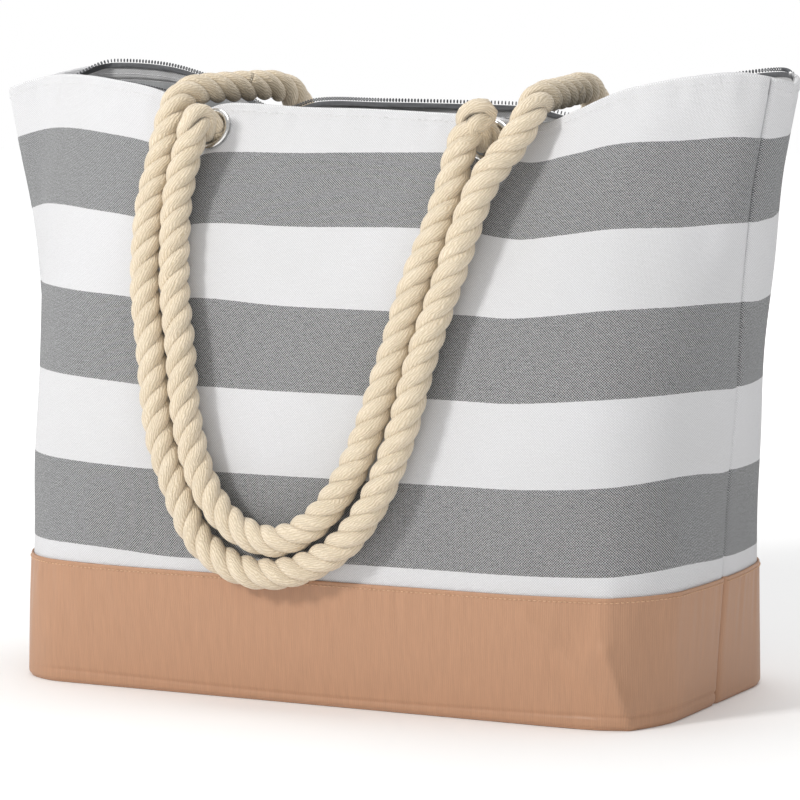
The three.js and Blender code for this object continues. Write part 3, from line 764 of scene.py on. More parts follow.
def rope_material():
    """Soft cream cotton yarns, turned into strands, with painted shade down in the grooves between them."""
    made, shade, surface = new_material("Twisted Rope", Sheen_Weight=0.35, Sheen_Roughness=0.5,
                                        Specular_IOR_Level=0.3)
    uv = shade.add("ShaderNodeUVMap", uv_map="Strand").outputs[0]
    split = shade.add("ShaderNodeSeparateXYZ", {0: uv})
    along, round_it = split.outputs[0], split.outputs[1]
    drift = shade.sum("MULTIPLY", shade.sum("SUBTRACT", shade.noise(uv, 6.0, 2.0), 0.5), 0.16)
    phase = shade.sum("ADD", shade.sum("MULTIPLY_ADD", along, 1.2, round_it), drift)
    yarn = shade.sum("MULTIPLY", shade.sum("SINE", shade.sum("MULTIPLY", phase, 2 * math.pi * 19)), 0.5)
    turned = shade.add("ShaderNodeCombineXYZ", {0: shade.sum("MULTIPLY", phase, 90.0),
                                                1: shade.sum("MULTIPLY", along, 9.0), 2: 0.0}).outputs[0]
    fibre = shade.noise(turned, 1.0, 4.0, 0.62)
    blotch = shade.noise(uv, 2.4, 3.0)
    share = shade.sum("ADD", shade.sum("MULTIPLY", yarn, 0.30), shade.sum(
        "ADD", shade.sum("MULTIPLY", fibre, 0.55), shade.sum("MULTIPLY", blotch, 0.35)))
    painted_groove_shade = shade.add("ShaderNodeAttribute", attribute_name="painted_groove_shade").outputs["Fac"]
    low = tuple(c * k for c, k in zip(colours().rope[:3], (0.74, 0.70, 0.62))) + (1,)
    high = tuple(min(1, c * k) for c, k in zip(colours().rope[:3], (1.12, 1.15, 1.22))) + (1,)
    tint = shade.mix(shade.remap(share, 0.15, 0.75), low, high)
    # painted shade: points deep in the rope, in the grooves between the strands, are darkened towards a fifth of the
    # low colour
    tint = shade.mix(shade.sum("MULTIPLY", painted_groove_shade, 0.95), tint, tuple(c * 0.20 for c in low[:3]) + (1,))
    relief = shade.sum("ADD", shade.sum("MULTIPLY", yarn, 0.8), fibre)
    bump = shade.add("ShaderNodeBump", {"Height": relief, "Strength": 0.7, "Distance": 0.0006}).outputs[0]
    rough = shade.remap(fibre, 0.3, 0.7, 0.82, 0.95)
    join(shade, surface, Base_Color=tint, Normal=bump, Roughness=rough)
    return made


def wear_group():
    """Fine scratches and dulled patches for small metal parts."""
    if "Handled Metal" in bpy.data.node_groups:
        return bpy.data.node_groups["Handled Metal"]
    tree, shade, source, result = new_group(
        "Handled Metal", [("Vector", "NodeSocketVector", None), ("Base", "NodeSocketFloat", 0.2)],
        [("Roughness", "NodeSocketFloat"), ("Height", "NodeSocketFloat"), ("Dull", "NodeSocketFloat")])
    stretched = shade.add("ShaderNodeMapping", {0: source.outputs["Vector"], 3: (5200, 900, 700)}).outputs[0]
    scratch = shade.noise(stretched, 1.0, 2.0)
    patch = shade.noise(source.outputs["Vector"], 260.0, 4.0)
    dull = shade.remap(patch, 0.45, 0.7)
    rough = shade.sum("ADD", source.outputs["Base"], shade.sum("MULTIPLY_ADD", dull, 0.16, shade.sum(
        "MULTIPLY", scratch, 0.08)))
    for label, socket in (("Roughness", rough), ("Height", scratch), ("Dull", dull)):
        tree.links.new(socket, result.inputs[label])
    return tree


def metal_material(name, colour, roughness):
    made, shade, surface = new_material(name, Metallic=1.0)
    place = shade.add("ShaderNodeTexCoord").outputs["Object"]
    wear = shade.add("ShaderNodeGroup", {"Vector": place, "Base": roughness}, node_tree=wear_group())
    dulled = tuple(c * 0.82 for c in colour[:3]) + (1,)
    tint = shade.mix(wear.outputs["Dull"], tuple(colour[:3]) + (1,), dulled)
    bump = shade.add("ShaderNodeBump", {
        "Height": wear.outputs["Height"], "Strength": 0.08, "Distance": 0.0002}).outputs[0]
    join(shade, surface, Base_Color=tint, Normal=bump, Roughness=wear.outputs["Roughness"])
    return made


def moulded_material(name, colour, roughness=0.42):
    made, shade, surface = new_material(name)
    place = shade.add("ShaderNodeTexCoord").outputs["Object"]
    grain = shade.noise(place, 1800.0, 3.0)
    tint = shade.mix(
        grain, tuple(c * 0.8 for c in colour[:3]) + (1,), tuple(min(1, c * 1.25) for c in colour[:3]) + (1,))
    bump = shade.add("ShaderNodeBump", {"Height": grain, "Strength": 0.15, "Distance": 0.0001}).outputs[0]
    join(shade, surface, Base_Color=tint, Normal=bump,
         Roughness=shade.remap(grain, 0.3, 0.7, roughness, roughness + 0.14))
    return made


MATERIALS = {
    "canvas": canvas_material,
    "satin": satin_material,
    "rope": rope_material,
    "lining": lambda: cloth_material("Lining Cloth", colours().lining, 0.00045),
    "tape": lambda: cloth_material("Zip Tape", colours().tape, 0.0005),
    "thread": lambda: cloth_material("Satin Thread", colours().stitch, 0.0003, 0.6),
    "hem thread": lambda: cloth_material("Hem Thread", (0.74, 0.74, 0.75, 1), 0.0003, 0.7),
    "board": lambda: moulded_material("Base Board", (0.78, 0.77, 0.74, 1), 0.55),
    "coil": lambda: moulded_material("Zip Teeth", (0.11, 0.115, 0.125, 1), 0.4),
    "eyelet": lambda: metal_material("Nickel Eyelet", colours().nickel, 0.14),
    "steel": lambda: metal_material("Zip Steel", (0.62, 0.62, 0.63, 1), 0.27),
}
_made = {}


def dress(thing, name):
    if name not in _made:
        _made[name] = MATERIALS[name]()
    thing.data.materials.clear()
    thing.data.materials.append(_made[name])
    return thing


def finished(thing, look, body="bag", replaces=()):
    """Gives a piece its material, its body and the plain parts that it stands for."""
    dress(thing, look)
    if body:
        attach(thing, body)
    if replaces:
        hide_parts(*replaces)
    return thing


class Maker:
    """What every step of the bag shares."""

    bl_options = {"REGISTER", "UNDO"}


# ---- steps ----


class BAG_OT_camera(Maker, bpy.types.Operator):
    """Set the camera in front of the bag, a little to its right and above it"""

    bl_idname = "beach_bag.camera"
    bl_label = "Camera"

    def execute(self, context):
        yaw, pitch, roll = math.radians(28.9), math.radians(6.5), math.radians(-1.0)
        aim = Vector((0.0105, 0, 0.1639))
        back = Vector((math.sin(yaw) * math.cos(pitch), -math.cos(yaw) * math.cos(pitch), math.sin(pitch)))
        level = Vector((math.cos(yaw), math.sin(yaw), 0))
        up = back.cross(level)
        right = level * math.cos(roll) + up * math.sin(roll)
        over = back.cross(right)
        data = bpy.data.cameras.new("Camera")
        data.lens, data.sensor_width = 161.9, 36
        data.clip_start, data.clip_end = 0.1, 50
        camera = bpy.data.objects.new("Camera", data)
        turned = Matrix((right, over, back)).transposed().to_4x4()
        camera.matrix_world = Matrix.Translation(aim + back * 2.0945) @ turned
        context.scene.collection.objects.link(camera)
        context.scene.camera = camera
        return {"FINISHED"}


def through_eyelet(name, *steps):
    centre, out = EYELET_PLACES[name]
    return [tuple(np.array(centre) + np.array(out) * step) for step in steps]


def eyelet_place(name):
    """The middle of an eyelet and the way its axis points, out of the bag."""
    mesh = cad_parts[f"{name}_eyelet"].data
    points = np.empty(len(mesh.vertices) * 3)
    mesh.vertices.foreach_get("co", points)
    points = points.reshape(-1, 3)
    middle = points.mean(axis=0)
    axis = np.linalg.eigh(np.cov((points - middle).T))[1][:, 0]
    outward_sign = -1 if name.startswith("front") else 1
    return middle, axis * math.copysign(1, axis[1]) * outward_sign


EYELET_PLACES = {
    name: eyelet_place(name) for name in ("front_left", "front_right", "back_left", "back_right")}


def groove_shade_mask(thing, rope):
    """Marks how deep each point lies in the rope, for the painted shade in its grooves."""
    points = np.empty(len(thing.data.vertices) * 3)
    thing.data.vertices.foreach_get("co", points)
    points = points.reshape(-1, 3)
    along = rope.last_alongs
    off = np.linalg.norm(points - rope.at(along), axis=1) / (rope.thickness / 2)
    deep = 1 - fade(off, 0.62, 0.88)
    thing.data.attributes.new("painted_groove_shade", "FLOAT", "POINT").data.foreach_set("value", deep.astype(np.float32))


def stopper_knot(name, centre):
    """A tight overhand knot of the same rope, pulled down to a ball."""
    t = np.linspace(0, 2 * math.pi, 97)[:-1]
    ring = np.stack([np.sin(t) + 2 * np.sin(2 * t), np.cos(t) - 2 * np.cos(2 * t), -1.5 * np.sin(3 * t)], axis=-1)
    ring = np.vstack([ring, ring[:1]]) * 0.0036 + np.array(centre)
    rope = Rope([tuple(p) for p in ring[::3]], 0.0105)
    thing = rope.stretch(name, 0.0001, rope.along[-1] - 0.0001, step=0.0018, sides=10)
    groove_shade_mask(thing, rope)
    return finished(thing, "rope")


class BAG_OT_front_handle(Maker, bpy.types.Operator):
    """Lay the front rope from eyelet to eyelet, with a knot and a tail behind each"""

    bl_idname = "beach_bag.front_handle"
    bl_label = "Front Handle"

    def execute(self, context):
        route = (
            FRONT_LEFT_END + through_eyelet("front_left", -0.014, 0, 0.006) + FRONT_LEFT_CURL + FRONT_LOOP
            + FRONT_RIGHT_CURL[::-1] + through_eyelet("front_right", 0.006, 0, -0.014) + FRONT_RIGHT_END[::-1])
        rope = Rope(route, sizes().rope)
        left = rope.nearest(EYELET_PLACES["front_left"][0])
        right = rope.nearest(EYELET_PLACES["front_right"][0])
        turn_left = rope.nearest(FRONT_LOOP[0])
        turn_right = rope.nearest(FRONT_LOOP[-1])
        handle = rope.stretch("front_handle", left, right)
        groove_shade_mask(handle, rope)
        alongs = rope.last_alongs.copy()
        tails = []
        for side, start, end in (("left", 0.0, left), ("right", right, rope.along[-1])):
            tail = rope.stretch(f"front_{side}_rope_tail", start, end)
            groove_shade_mask(tail, rope)
            finished(tail, "rope", replaces=[f"front_{side}_rope_end"])
            knot_at = (FRONT_LEFT_END if side == "left" else FRONT_RIGHT_END)[1]
            tails += [tail, stopper_knot(f"front_{side}_knot", knot_at)]
        finished(handle, "rope", body=None, replaces=["front_handle_rope"])
        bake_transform(handle)
        weigh(alongs, [
            (left + 0.006, 0), (turn_left, 0.5), (turn_left + 0.022, 1),
            (turn_right - 0.022, 1), (turn_right, 0.5), (right - 0.006, 0)])
        return {"FINISHED"}


class BAG_OT_back_handle(Maker, bpy.types.Operator):
    """Lay the back rope over both rims, in two leads and a hanging loop"""

    bl_idname = "beach_bag.back_handle"
    bl_label = "Back Handle"

    def execute(self, context):
        route = (
            BACK_LEFT_END + through_eyelet("back_left", -0.014, 0, 0.006) + LEFT_BRIDGE + BACK_LOOP
            + RIGHT_BRIDGE[::-1] + through_eyelet("back_right", 0.006, 0, -0.014) + BACK_RIGHT_END[::-1])
        rope = Rope(route, sizes().rope)
        middle_left, middle_right = rope.nearest(LEFT_BRIDGE[3]), rope.nearest(RIGHT_BRIDGE[3])
        loop = rope.stretch("back_handle", middle_left, middle_right)
        groove_shade_mask(loop, rope)
        alongs = rope.last_alongs.copy()
        turn_left, turn_right = rope.nearest(BACK_LOOP[0]), rope.nearest(BACK_LOOP[-1])
        finished(loop, "rope", body=None,
                 replaces=["back_handle_rope", "back_handle_left_bridge", "back_handle_right_bridge"])
        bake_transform(loop)
        weigh(alongs, [
            (turn_left - 0.032, 0), (turn_left + 0.002, 0.5), (turn_left + 0.036, 1),
            (turn_right - 0.036, 1), (turn_right - 0.002, 0.5), (turn_right + 0.032, 0)])
        leads = []
        for side, start, end in (("left", 0.0, middle_left), ("right", middle_right, rope.along[-1])):
            lead = rope.stretch(f"back_handle_{side}_lead", start, end)
            groove_shade_mask(lead, rope)
            finished(lead, "rope", body=None, replaces=[f"back_{side}_rope_end"])
            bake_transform(lead)
            eyelet = rope.nearest(EYELET_PLACES[f"back_{side}"][0])
            turn = rope.nearest((LEFT_BRIDGE if side == "left" else RIGHT_BRIDGE)[0])
            reach = 1 if side == "left" else -1
            spans = [(eyelet + reach * 0.003, 0), (turn, 0.5), (turn + reach * 0.018, 1)]
            weigh(rope.last_alongs, sorted(spans))
            knot = stopper_knot(f"back_{side}_knot", (BACK_LEFT_END if side == "left" else BACK_RIGHT_END)[1])
            leads.append((lead, start, end, knot, side))
        for lead, start, end, knot, side in leads:
            path = [tuple(p) for p in rope.path(start, end)]
            if side == "left":
                path = path[::-1]
        return {"FINISHED"}


def wall_grid(us, ts, depth, lift=False):
    """Points on the wall with their cloth measures, for a whole grid of shares; depth may be a grid too."""
    u, t = np.broadcast_arrays(us, ts)
    place = on_wall(u, t, np.broadcast_to(depth, u.shape))
    place[..., 2] = np.maximum(place[..., 2], 0.0)
    h = t * WALL
    if lift:
        h = h + stripe_lift(u, h)
    return place, np.stack([u * 574 * MM, h], axis=-1)


def eased(u, shares, pulls):
    """A smooth line through a few pulls along the front."""
    even = np.linspace(0, 1, 201)
    line = np.interp(even, shares, pulls)
    for _ in range(120):
        line[1:-1] = (line[:-2] + 2 * line[1:-1] + line[2:]) / 4
    return np.interp(u, even, line)


def stripe_lift(u, h):
    """How far the cloth's own height differs from the plain one, where it was pulled while it was sewn."""
    lift = (fade(h, 0.06, 0.10) * (1 - fade(h, 0.134, 0.200)) * 4
            - fade(h, 0.20, 0.284) * 4 + fade(h, 0.29, 0.334) * 1.5)
    total = lift * smooth_bump((u - 0.91) / 0.05)
    total += (-3.5 * (1 - fade(h, 0.072, 0.12)) + 3 * fade(h, 0.16, 0.234) * (1 - fade(h, 0.25, 0.31))) * smooth_bump(
        (u - 0.36) / 0.05)
    total += 1.5 * fade(h, 0.28, 0.334) * smooth_bump((u - 0.62) / 0.09)
    front = (u <= 1) * (1 - fade(u, 0.97, 1.0))
    high = eased(u, [0, 0.06, 0.15, 0.35, 0.48, 0.60, 0.69, 0.76, 0.80, 0.88, 0.97],
                     [-3, -4.6, -2, -3.2, -0.8, 1, 4, 1, -0.8, -4.4, -3])
    below = eased(
        u, [0, 0.06, 0.14, 0.34, 0.50, 0.61, 0.70, 0.77, 0.86, 0.97],
        [-2, -2.9, 0.3, -1.6, 0.6, 3.2, 0.6, -1.7, -3.2, -2])
    middle = -2.2 * smooth_bump((h - 0.16) / 0.04) * fade(u, 0.1, 0.3) * (1 - 0.3 * fade(u, 0.6, 0.9))
    total += front * (high * fade(h, 0.284, 0.334)
                      + below * fade(h, 0.234, 0.284) * (1 - fade(h, 0.284, 0.334)) + middle)
    return -total * MM


def rolled_in(columns, low, high):
    """Extra depth that turns the cloth in at both ends of a panel."""
    girth = 574 * MM
    return 2.1 * MM * (np.exp(-(columns - low) * girth / (1.5 * MM)) + np.exp(-(high - columns) * girth / (1.5 * MM)))


PANELS = (("front", 0.0, 1.0), ("back", 1.0, 2.0))


class BAG_OT_canvas(Maker, bpy.types.Operator):
    """Sew the striped canvas: a front and a back panel with a turned-in hem"""

    bl_idname = "beach_bag.canvas"
    bl_label = "Canvas"

    def execute(self, context):
        low = BAND - BAND_LAP
        heights = np.concatenate([
            np.linspace(low, 0.352, 118), np.linspace(0.3536, WALL - 0.00175, 12)])
        ts = (heights / WALL)[:, None]
        for side, start, end in PANELS:
            columns = columns_between(start, end, 262)
            shift = seam_shift(ts)
            if side == "front":
                us = columns * (1 - shift)
            else:
                us = (1 - shift) + (columns - 1) * (1 + shift)
            gap = 0.0005 * (np.where(columns < start + 0.5, 1, -1))
            us = us + gap * np.exp(-np.minimum(columns - start, end - columns) * 300)
            turned = rolled_in(columns, start, end)
            hem = fade(heights, WALL - HEM - 0.0012, WALL - HEM)[:, None]
            step = 0.35 * MM * smooth_bump((heights - (WALL - HEM - 0.0006)) / 0.0009)[:, None]
            outer = wall_grid(us, ts, 0.3 * MM + turned + step * 0.5, lift=True)
            inner = wall_grid(us, ts, 1.8 * MM + turned + 1.8 * MM * hem)
            holes = []
            for name, (centre, out) in EYELET_PLACES.items():
                if name.startswith(side):
                    holes.append((np.array(centre), np.array(out) / np.linalg.norm(out), 0.0116))
            thing = cloth(f"{side}_canvas", outer, inner, fold=5, holes=holes)
            finished(thing, "canvas", replaces=[f"{side}_canvas_panel"])
        return {"FINISHED"}


class BAG_OT_base_band(Maker, bpy.types.Operator):
    """Sew the satin band round the foot of the bag, and its stitches"""

    bl_idname = "beach_bag.base_band"
    bl_label = "Base Band"

    def execute(self, context):
        heights = np.concatenate([np.linspace(0, 0.0088, 12), np.linspace(0.0098, BAND - 0.0006, 62)])
        ts = (heights / WALL)[:, None]
        seams = []
        for side, start, end in PANELS:
            columns = columns_between(start, end, 470)
            gap = 0.0005 * (np.where(columns < start + 0.5, 1, -1))
            us = columns + gap * np.exp(-np.minimum(columns - start, end - columns) * 300)
            turned = rolled_in(columns, start, end)
            u, h = np.broadcast_arrays(us, heights[:, None])
            relief = band_ribs(u, h)
            over = fade(h, 0.058, 0.064)
            outer = wall_grid(us, ts, -1.2 * MM + turned - relief)
            inner = wall_grid(us, ts, 0.25 * MM - 0.15 * MM * over + turned)
            thing = cloth(f"{side}_band", outer, inner, fold=3)
            finished(thing, "satin", replaces=[f"{side}_base_band"])
            pitch = sizes().band_stitch / (574 * MM)
            along = np.arange(start + 0.006, end - 0.006, pitch)
            seams.append(stitch_places(along, np.full_like(along, (BAND - 2.5 * MM) / WALL), -1.45 * MM))
        places = np.concatenate([s[0] for s in seams]), np.concatenate([s[1] for s in seams]), np.concatenate(
            [s[2] for s in seams])
        stitches = stitch_mesh("band_stitches", places, 2.1 * MM, 0.32 * MM)
        finished(stitches, "thread")
        return {"FINISHED"}


def stitch_places(us, ts, depth):
    middle = on_wall(us, ts, depth)
    ahead, behind = on_wall(us + 0.0015, ts, depth), on_wall(us - 0.0015, ts, depth)
    run = ahead - behind
    run /= np.linalg.norm(run, axis=1, keepdims=True)
    out = middle - on_wall(us, ts, depth + 0.001)
    out /= np.linalg.norm(out, axis=1, keepdims=True)
    return middle, run, out


def stitch_mesh(name, places, length, radius):
    """Every stitch in a row, each a short bowed thread that sinks into the cloth at both ends."""
    middle, run, out = places
    side = np.cross(run, out)
    sides, rings = 6, 6
    points, faces, uvs = [], [], []
    turn = np.arange(sides) / sides * 2 * math.pi
    for k in range(rings):
        v = k / (rings - 1) * 2 - 1
        size = radius * math.sqrt(max(0.12, 1 - v**4))
        spine = middle + run * (v * length / 2) + out * (radius * (0.35 - 1.0 * v * v))
        ring = np.cos(turn)[None, :, None] * side[:, None] + np.sin(turn)[None, :, None] * out[:, None]
        points.append(spine[:, None] + ring * size)
        pair = np.stack([np.full(sides, v * length), turn * radius], -1)
        uvs.append(np.broadcast_to(pair, ring.shape[:2] + (2,)))
    points = np.stack(points, axis=1).reshape(-1, 3)
    uvs = np.stack(uvs, axis=1).reshape(-1, 2)
    single = tube_faces(rings, sides)
    for i in range(len(middle)):
        faces += [tuple(i * sides * rings + k for k in f) for f in single]
    thing = new_mesh(name, points, faces)
    face_outward(thing)
    write_uv(thing, "Cloth", uvs)
    return thing


class BAG_OT_rim_stitches(Maker, bpy.types.Operator):
    """Sew the row of stitches that holds the rim's hem"""

    bl_idname = "beach_bag.rim_stitches"
    bl_label = "Rim Stitches"

    def execute(self, context):
        pitch = sizes().rim_stitch / (574 * MM)
        along = np.arange(0.006, 1.994, pitch)
        along = along[(np.abs(along - 1) > 0.008) & (np.abs(along - (1 - 0.034)) > 0.003)]
        height = np.full_like(along, (WALL - 6.2 * MM) / WALL)
        clear = np.ones(len(along), bool)
        middle = on_wall(along, height, 0.0)
        for centre, _ in EYELET_PLACES.values():
            clear &= np.linalg.norm(middle - np.array(centre), axis=1) > 0.0145
        along, height = along[clear], height[clear]
        outer = stitch_places(along, height, 0.22 * MM)
        inner = stitch_places(along, height, 3.7 * MM)
        inner = (inner[0], inner[1], -inner[2])
        places = tuple(np.concatenate([a, b]) for a, b in zip(outer, inner))
        finished(stitch_mesh("rim_stitches", places, 2.6 * MM, 0.27 * MM), "hem thread")
        return {"FINISHED"}


def rounded_plate(name, spare, low, high, dish=0.0, rings=46, columns=240):
    """A soft-edged plate in the base's outline, drawn in by spare, with a gentle waviness on top."""
    half_x, half_y = BASE["length"] / 2 - spare, BASE["depth"] / 2 - spare
    corner = BASE["corner"] - spare
    turn = np.arange(columns) / columns * 2 * math.pi
    outline = []
    for a in turn:
        dx, dy = math.cos(a), math.sin(a)
        x, y = max(half_x - corner, 0), max(half_y - corner, 0)
        outline.append((math.copysign(x, dx) + corner * dx if abs(dx) > 1e-9 else 0,
                        math.copysign(y, dy) + corner * dy if abs(dy) > 1e-9 else 0))
    outline = resampled(np.array([(x, y, 0) for x, y in outline + outline[:1]]),
                        np.linspace(0, 1, columns + 1)[:-1] * lengths_along(
                            np.array([(x, y, 0) for x, y in outline + outline[:1]]))[-1])
    shares = np.sin(np.linspace(0.02, 1, rings) * math.pi / 2)
    top, under = [], []
    soft = min(high - low, 2 * MM) / 2
    for share in shares:
        ring = outline * share
        edge = soft * fade(1 - share, 0, 0.02) if share < 1 else 0.0
        wave = dish * np.sin(ring[:, 0] * 41 + 1) * np.cos(ring[:, 1] * 57 + 0.4) * (1 - share**6)
        middle = (low + high) / 2
        reach = (high - low) / 2 - soft + edge
        top.append(np.c_[ring[:, :2], np.minimum(middle + reach + wave - abs(dish), high)])
        under.append(np.c_[ring[:, :2], np.full(columns, middle - reach)])
    points = np.concatenate(top + under)
    n = rings * columns
    faces = []
    for i in range(rings - 1):
        for j in range(columns):
            k = (j + 1) % columns
            a, b, c, d = i * columns + j, i * columns + k, (i + 1) * columns + k, (i + 1) * columns + j
            faces += [(a, b, c, d), (a + n, d + n, c + n, b + n)]
    last = (rings - 1) * columns
    faces += [(last + j, last + (j + 1) % columns, n + last + (j + 1) % columns, n + last + j) for j in range(columns)]
    faces += [tuple(range(columns))[::-1], tuple(range(n, n + columns))]
    thing = new_mesh(name, points, faces)
    face_outward(thing)
    write_uv(thing, "Cloth", points[:, :2])
    return thing


class BAG_OT_bottom(Maker, bpy.types.Operator):
    """Make the bottom panel, the stiffening board and the floor of the lining"""

    bl_idname = "beach_bag.bottom"
    bl_label = "Bottom"

    def execute(self, context):
        finished(rounded_plate("bottom", 1.2 * MM, 0.0, 1.4 * MM), "satin", replaces=["bottom_panel"])
        finished(rounded_plate("stiffener", 4 * MM, 1.8 * MM, 4.2 * MM), "board", replaces=["base_board"])
        finished(rounded_plate("floor_lining", 4.5 * MM, 4.6 * MM, 6.0 * MM, dish=0.35 * MM), "lining",
                 replaces=["lining_floor"])
        return {"FINISHED"}


class BAG_OT_lining(Maker, bpy.types.Operator):
    """Sew the lining walls and the bound edges of the side seams"""

    bl_idname = "beach_bag.lining"
    bl_label = "Lining"

    def execute(self, context):
        heights = np.linspace(0.006, WALL - 0.0108, 100)
        ts = (heights / WALL)[:, None]
        for side, start, end in PANELS:
            columns = np.linspace(start + 0.0025, end - 0.0025, 190)
            slack = 0.25 * MM * (1 + np.sin(columns * 71) * np.sin(heights[:, None] * 37 + 1)) * fade(
                np.minimum(columns - start, end - columns), 0, 0.05) * (1 - fade(heights, 0.33, 0.35))[:, None]
            outer = wall_grid(columns, ts, 2.45 * MM + slack)
            inner = wall_grid(columns, ts, 3.1 * MM + slack)
            holes = [(np.array(centre), np.array(out) / np.linalg.norm(out), 0.0118)
                     for name, (centre, out) in EYELET_PLACES.items() if name.startswith(side)]
            finished(cloth(f"{side}_lining_cloth", outer, inner, fold=3, holes=holes), "lining",
                     replaces=[f"{side}_lining"])
        for side, u in (("left", 0.0), ("right", 1.0)):
            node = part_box(f"{side}_seam_binding")
            low, high = max(node[0][2], 0.007), node[1][2]
            heights = np.linspace(low, high, 110)
            ts = np.clip(heights / WALL, 0, 1)
            seam = on_wall(np.full_like(ts, u), ts)
            inward = on_wall(np.full_like(ts, u), ts, 0.001) - seam
            inward /= np.linalg.norm(inward, axis=1, keepdims=True)
            near = seam + inward * 3.6 * MM
            lap = 7.5 * MM + 0.3 * MM * np.sin(heights * 120)[:, None]
            across = np.cross(inward, np.gradient(seam, axis=0))
            across /= np.linalg.norm(across, axis=1, keepdims=True)
            turn = np.arange(12) / 12 * 2 * math.pi
            reach = np.sign(np.cos(turn)) * np.abs(np.cos(turn)) ** 0.55
            rings = near[:, None] + inward[:, None] * ((reach + 1) / 2)[None, :, None] * lap[:, None] + (
                across[:, None] * (np.sin(turn) * 0.8 * MM)[None, :, None])
            thing = new_mesh(f"{side}_seam_tape", rings.reshape(-1, 3), tube_faces(len(heights), 12))
            face_outward(thing)
            uv = np.stack(np.broadcast_arrays((turn * 2.4 * MM)[None, :], heights[:, None]), -1).reshape(-1, 2)
            write_uv(thing, "Cloth", uv)
            finished(thing, "lining", replaces=[f"{side}_seam_binding"])
        return {"FINISHED"}


def smooth_copy(node, name, edge=0.0):
    """A merged copy of a frame node with smooth faces and, where edge is given, rounded edges."""
    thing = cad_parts[node].copy()
    thing.data = thing.data.copy()
    thing.name = name
    thing.parent = None
    thing.data.materials.clear()
    bpy.context.scene.collection.objects.link(thing)
    work = bmesh.new()
    work.from_mesh(thing.data)
    bmesh.ops.remove_doubles(work, verts=work.verts, dist=2e-6)
    bmesh.ops.dissolve_limit(work, angle_limit=math.radians(1), verts=work.verts, edges=work.edges)
    work.to_mesh(thing.data)
    work.free()
    bpy.ops.object.select_all(action="DESELECT")
    thing.select_set(True)
    bpy.context.view_layer.objects.active = thing
    if edge:
        bevel = thing.modifiers.new("Rounded edges", "BEVEL")
        bevel.width, bevel.segments = edge, 3
        bevel.limit_method, bevel.angle_limit = "ANGLE", math.radians(35)
        bpy.ops.object.modifier_apply(modifier=bevel.name)
    bpy.ops.object.shade_smooth_by_angle(angle=math.radians(40))
    return thing


# across from the axis and out from the cloth, in millimetres: the barrel, the rolled lip and its foot
RING_PROFILE = [
    (9.45, -2.9), (9.45, -0.6), (9.5, 0.3), (9.75, 0.95), (10.3, 1.4), (11.0, 1.55), (11.8, 1.4), (12.5, 0.95),
    (12.8, 0.35), (12.75, -0.05), (12.3, -0.15), (10.6, -0.15), (10.2, -0.5), (10.15, -2.9),
]


def on_cloth(centre, out):
    """The point where an eyelet's axis meets the outer face of the cloth."""
    near = SHELL[0].reshape(-1, 3) - centre
    off = near - (near @ out)[:, None] * out
    nearby = np.flatnonzero(np.linalg.norm(near, axis=1) < 0.03)
    first = nearby[np.linalg.norm(off[nearby], axis=1).argmin()]
    return centre + out * (near[first] @ out - 0.3 * MM)


def turned_ring(name, centre, out, profile, sides=72):
    """A ring turned about an eyelet's axis from its profile."""
    across = np.cross(out, (0, 0, 1))
    across /= np.linalg.norm(across)
    up = np.cross(out, across)
    turn = np.arange(sides) / sides * 2 * math.pi
    rows = []
    for reach, rise in profile:
        rows.append(centre + out * rise * MM + (
            across * np.cos(turn)[:, None] + up * np.sin(turn)[:, None]) * reach * MM)
    count = len(profile)
    faces = []
    for i in range(count):
        for j in range(sides):
            a, b, k = i * sides, (i + 1) % count * sides, (j + 1) % sides
            faces.append((a + j, a + k, b + k, b + j))
    thing = new_mesh(name, np.concatenate(rows), faces)
    face_outward(thing)
    return thing


class BAG_OT_eyelets(Maker, bpy.types.Operator):
    """Press in the four eyelets and their washers"""

    bl_idname = "beach_bag.eyelets"
    bl_label = "Eyelets"

    def execute(self, context):
        for place, (centre, out) in EYELET_PLACES.items():
            node = f"{place}_eyelet"
            thing = turned_ring(f"{place}_ring", on_cloth(centre, out), out, RING_PROFILE)
            finished(thing, "eyelet", replaces=[node])
            thing = smooth_copy(f"{node}_washer", f"{place}_washer", 0.12 * MM)
            finished(thing, "eyelet", replaces=[f"{node}_washer"])
        return {"FINISHED"}


RIM_LINES = {
    side: rounded(np.array(rim) * MM, 60) for side, rim in (("front", FRONT_RIM), ("back", BACK_RIM))}
ZIP_FROM, ZIP_CLOSED, ZIP_OPEN, ZIP_TO = 0.031, 0.074, 0.125, 0.96
ZIP_HANG = {"front": (12 * MM, -3 * MM), "back": (5.6 * MM, 1.8 * MM)}
TOOTH_HALF = 1.2 * MM


def beside_rim(side, s, depth, lift):
    line = RIM_LINES[side]
    along = lengths_along(line)
    total = along[-1]
    p = resampled(line, s * total)
    ahead = resampled(line, np.clip(s + 0.002, 0, 1) * total)
    run = ahead - resampled(line, np.clip(s - 0.002, 0, 1) * total)
    level = np.hypot(run[:, 0], run[:, 1])
    facing = 1 if side == "front" else -1
    return p + np.stack([-facing * run[:, 1] * depth / level, facing * run[:, 0] * depth / level,
                         np.zeros_like(level) + lift], -1)


def teeth_line(side, s):
    free = beside_rim(side, s, *ZIP_HANG[side])
    along = (s - ZIP_FROM) / (ZIP_CLOSED - ZIP_FROM)
    shut = CHAIN_START + (CHAIN_END - CHAIN_START) * along[:, None]
    shut[:, 1] += (-1 if side == "front" else 1) * (TOOTH_HALF + 0.25 * MM)
    return shut + (free - shut) * fade(s, ZIP_CLOSED, ZIP_OPEN)[:, None]


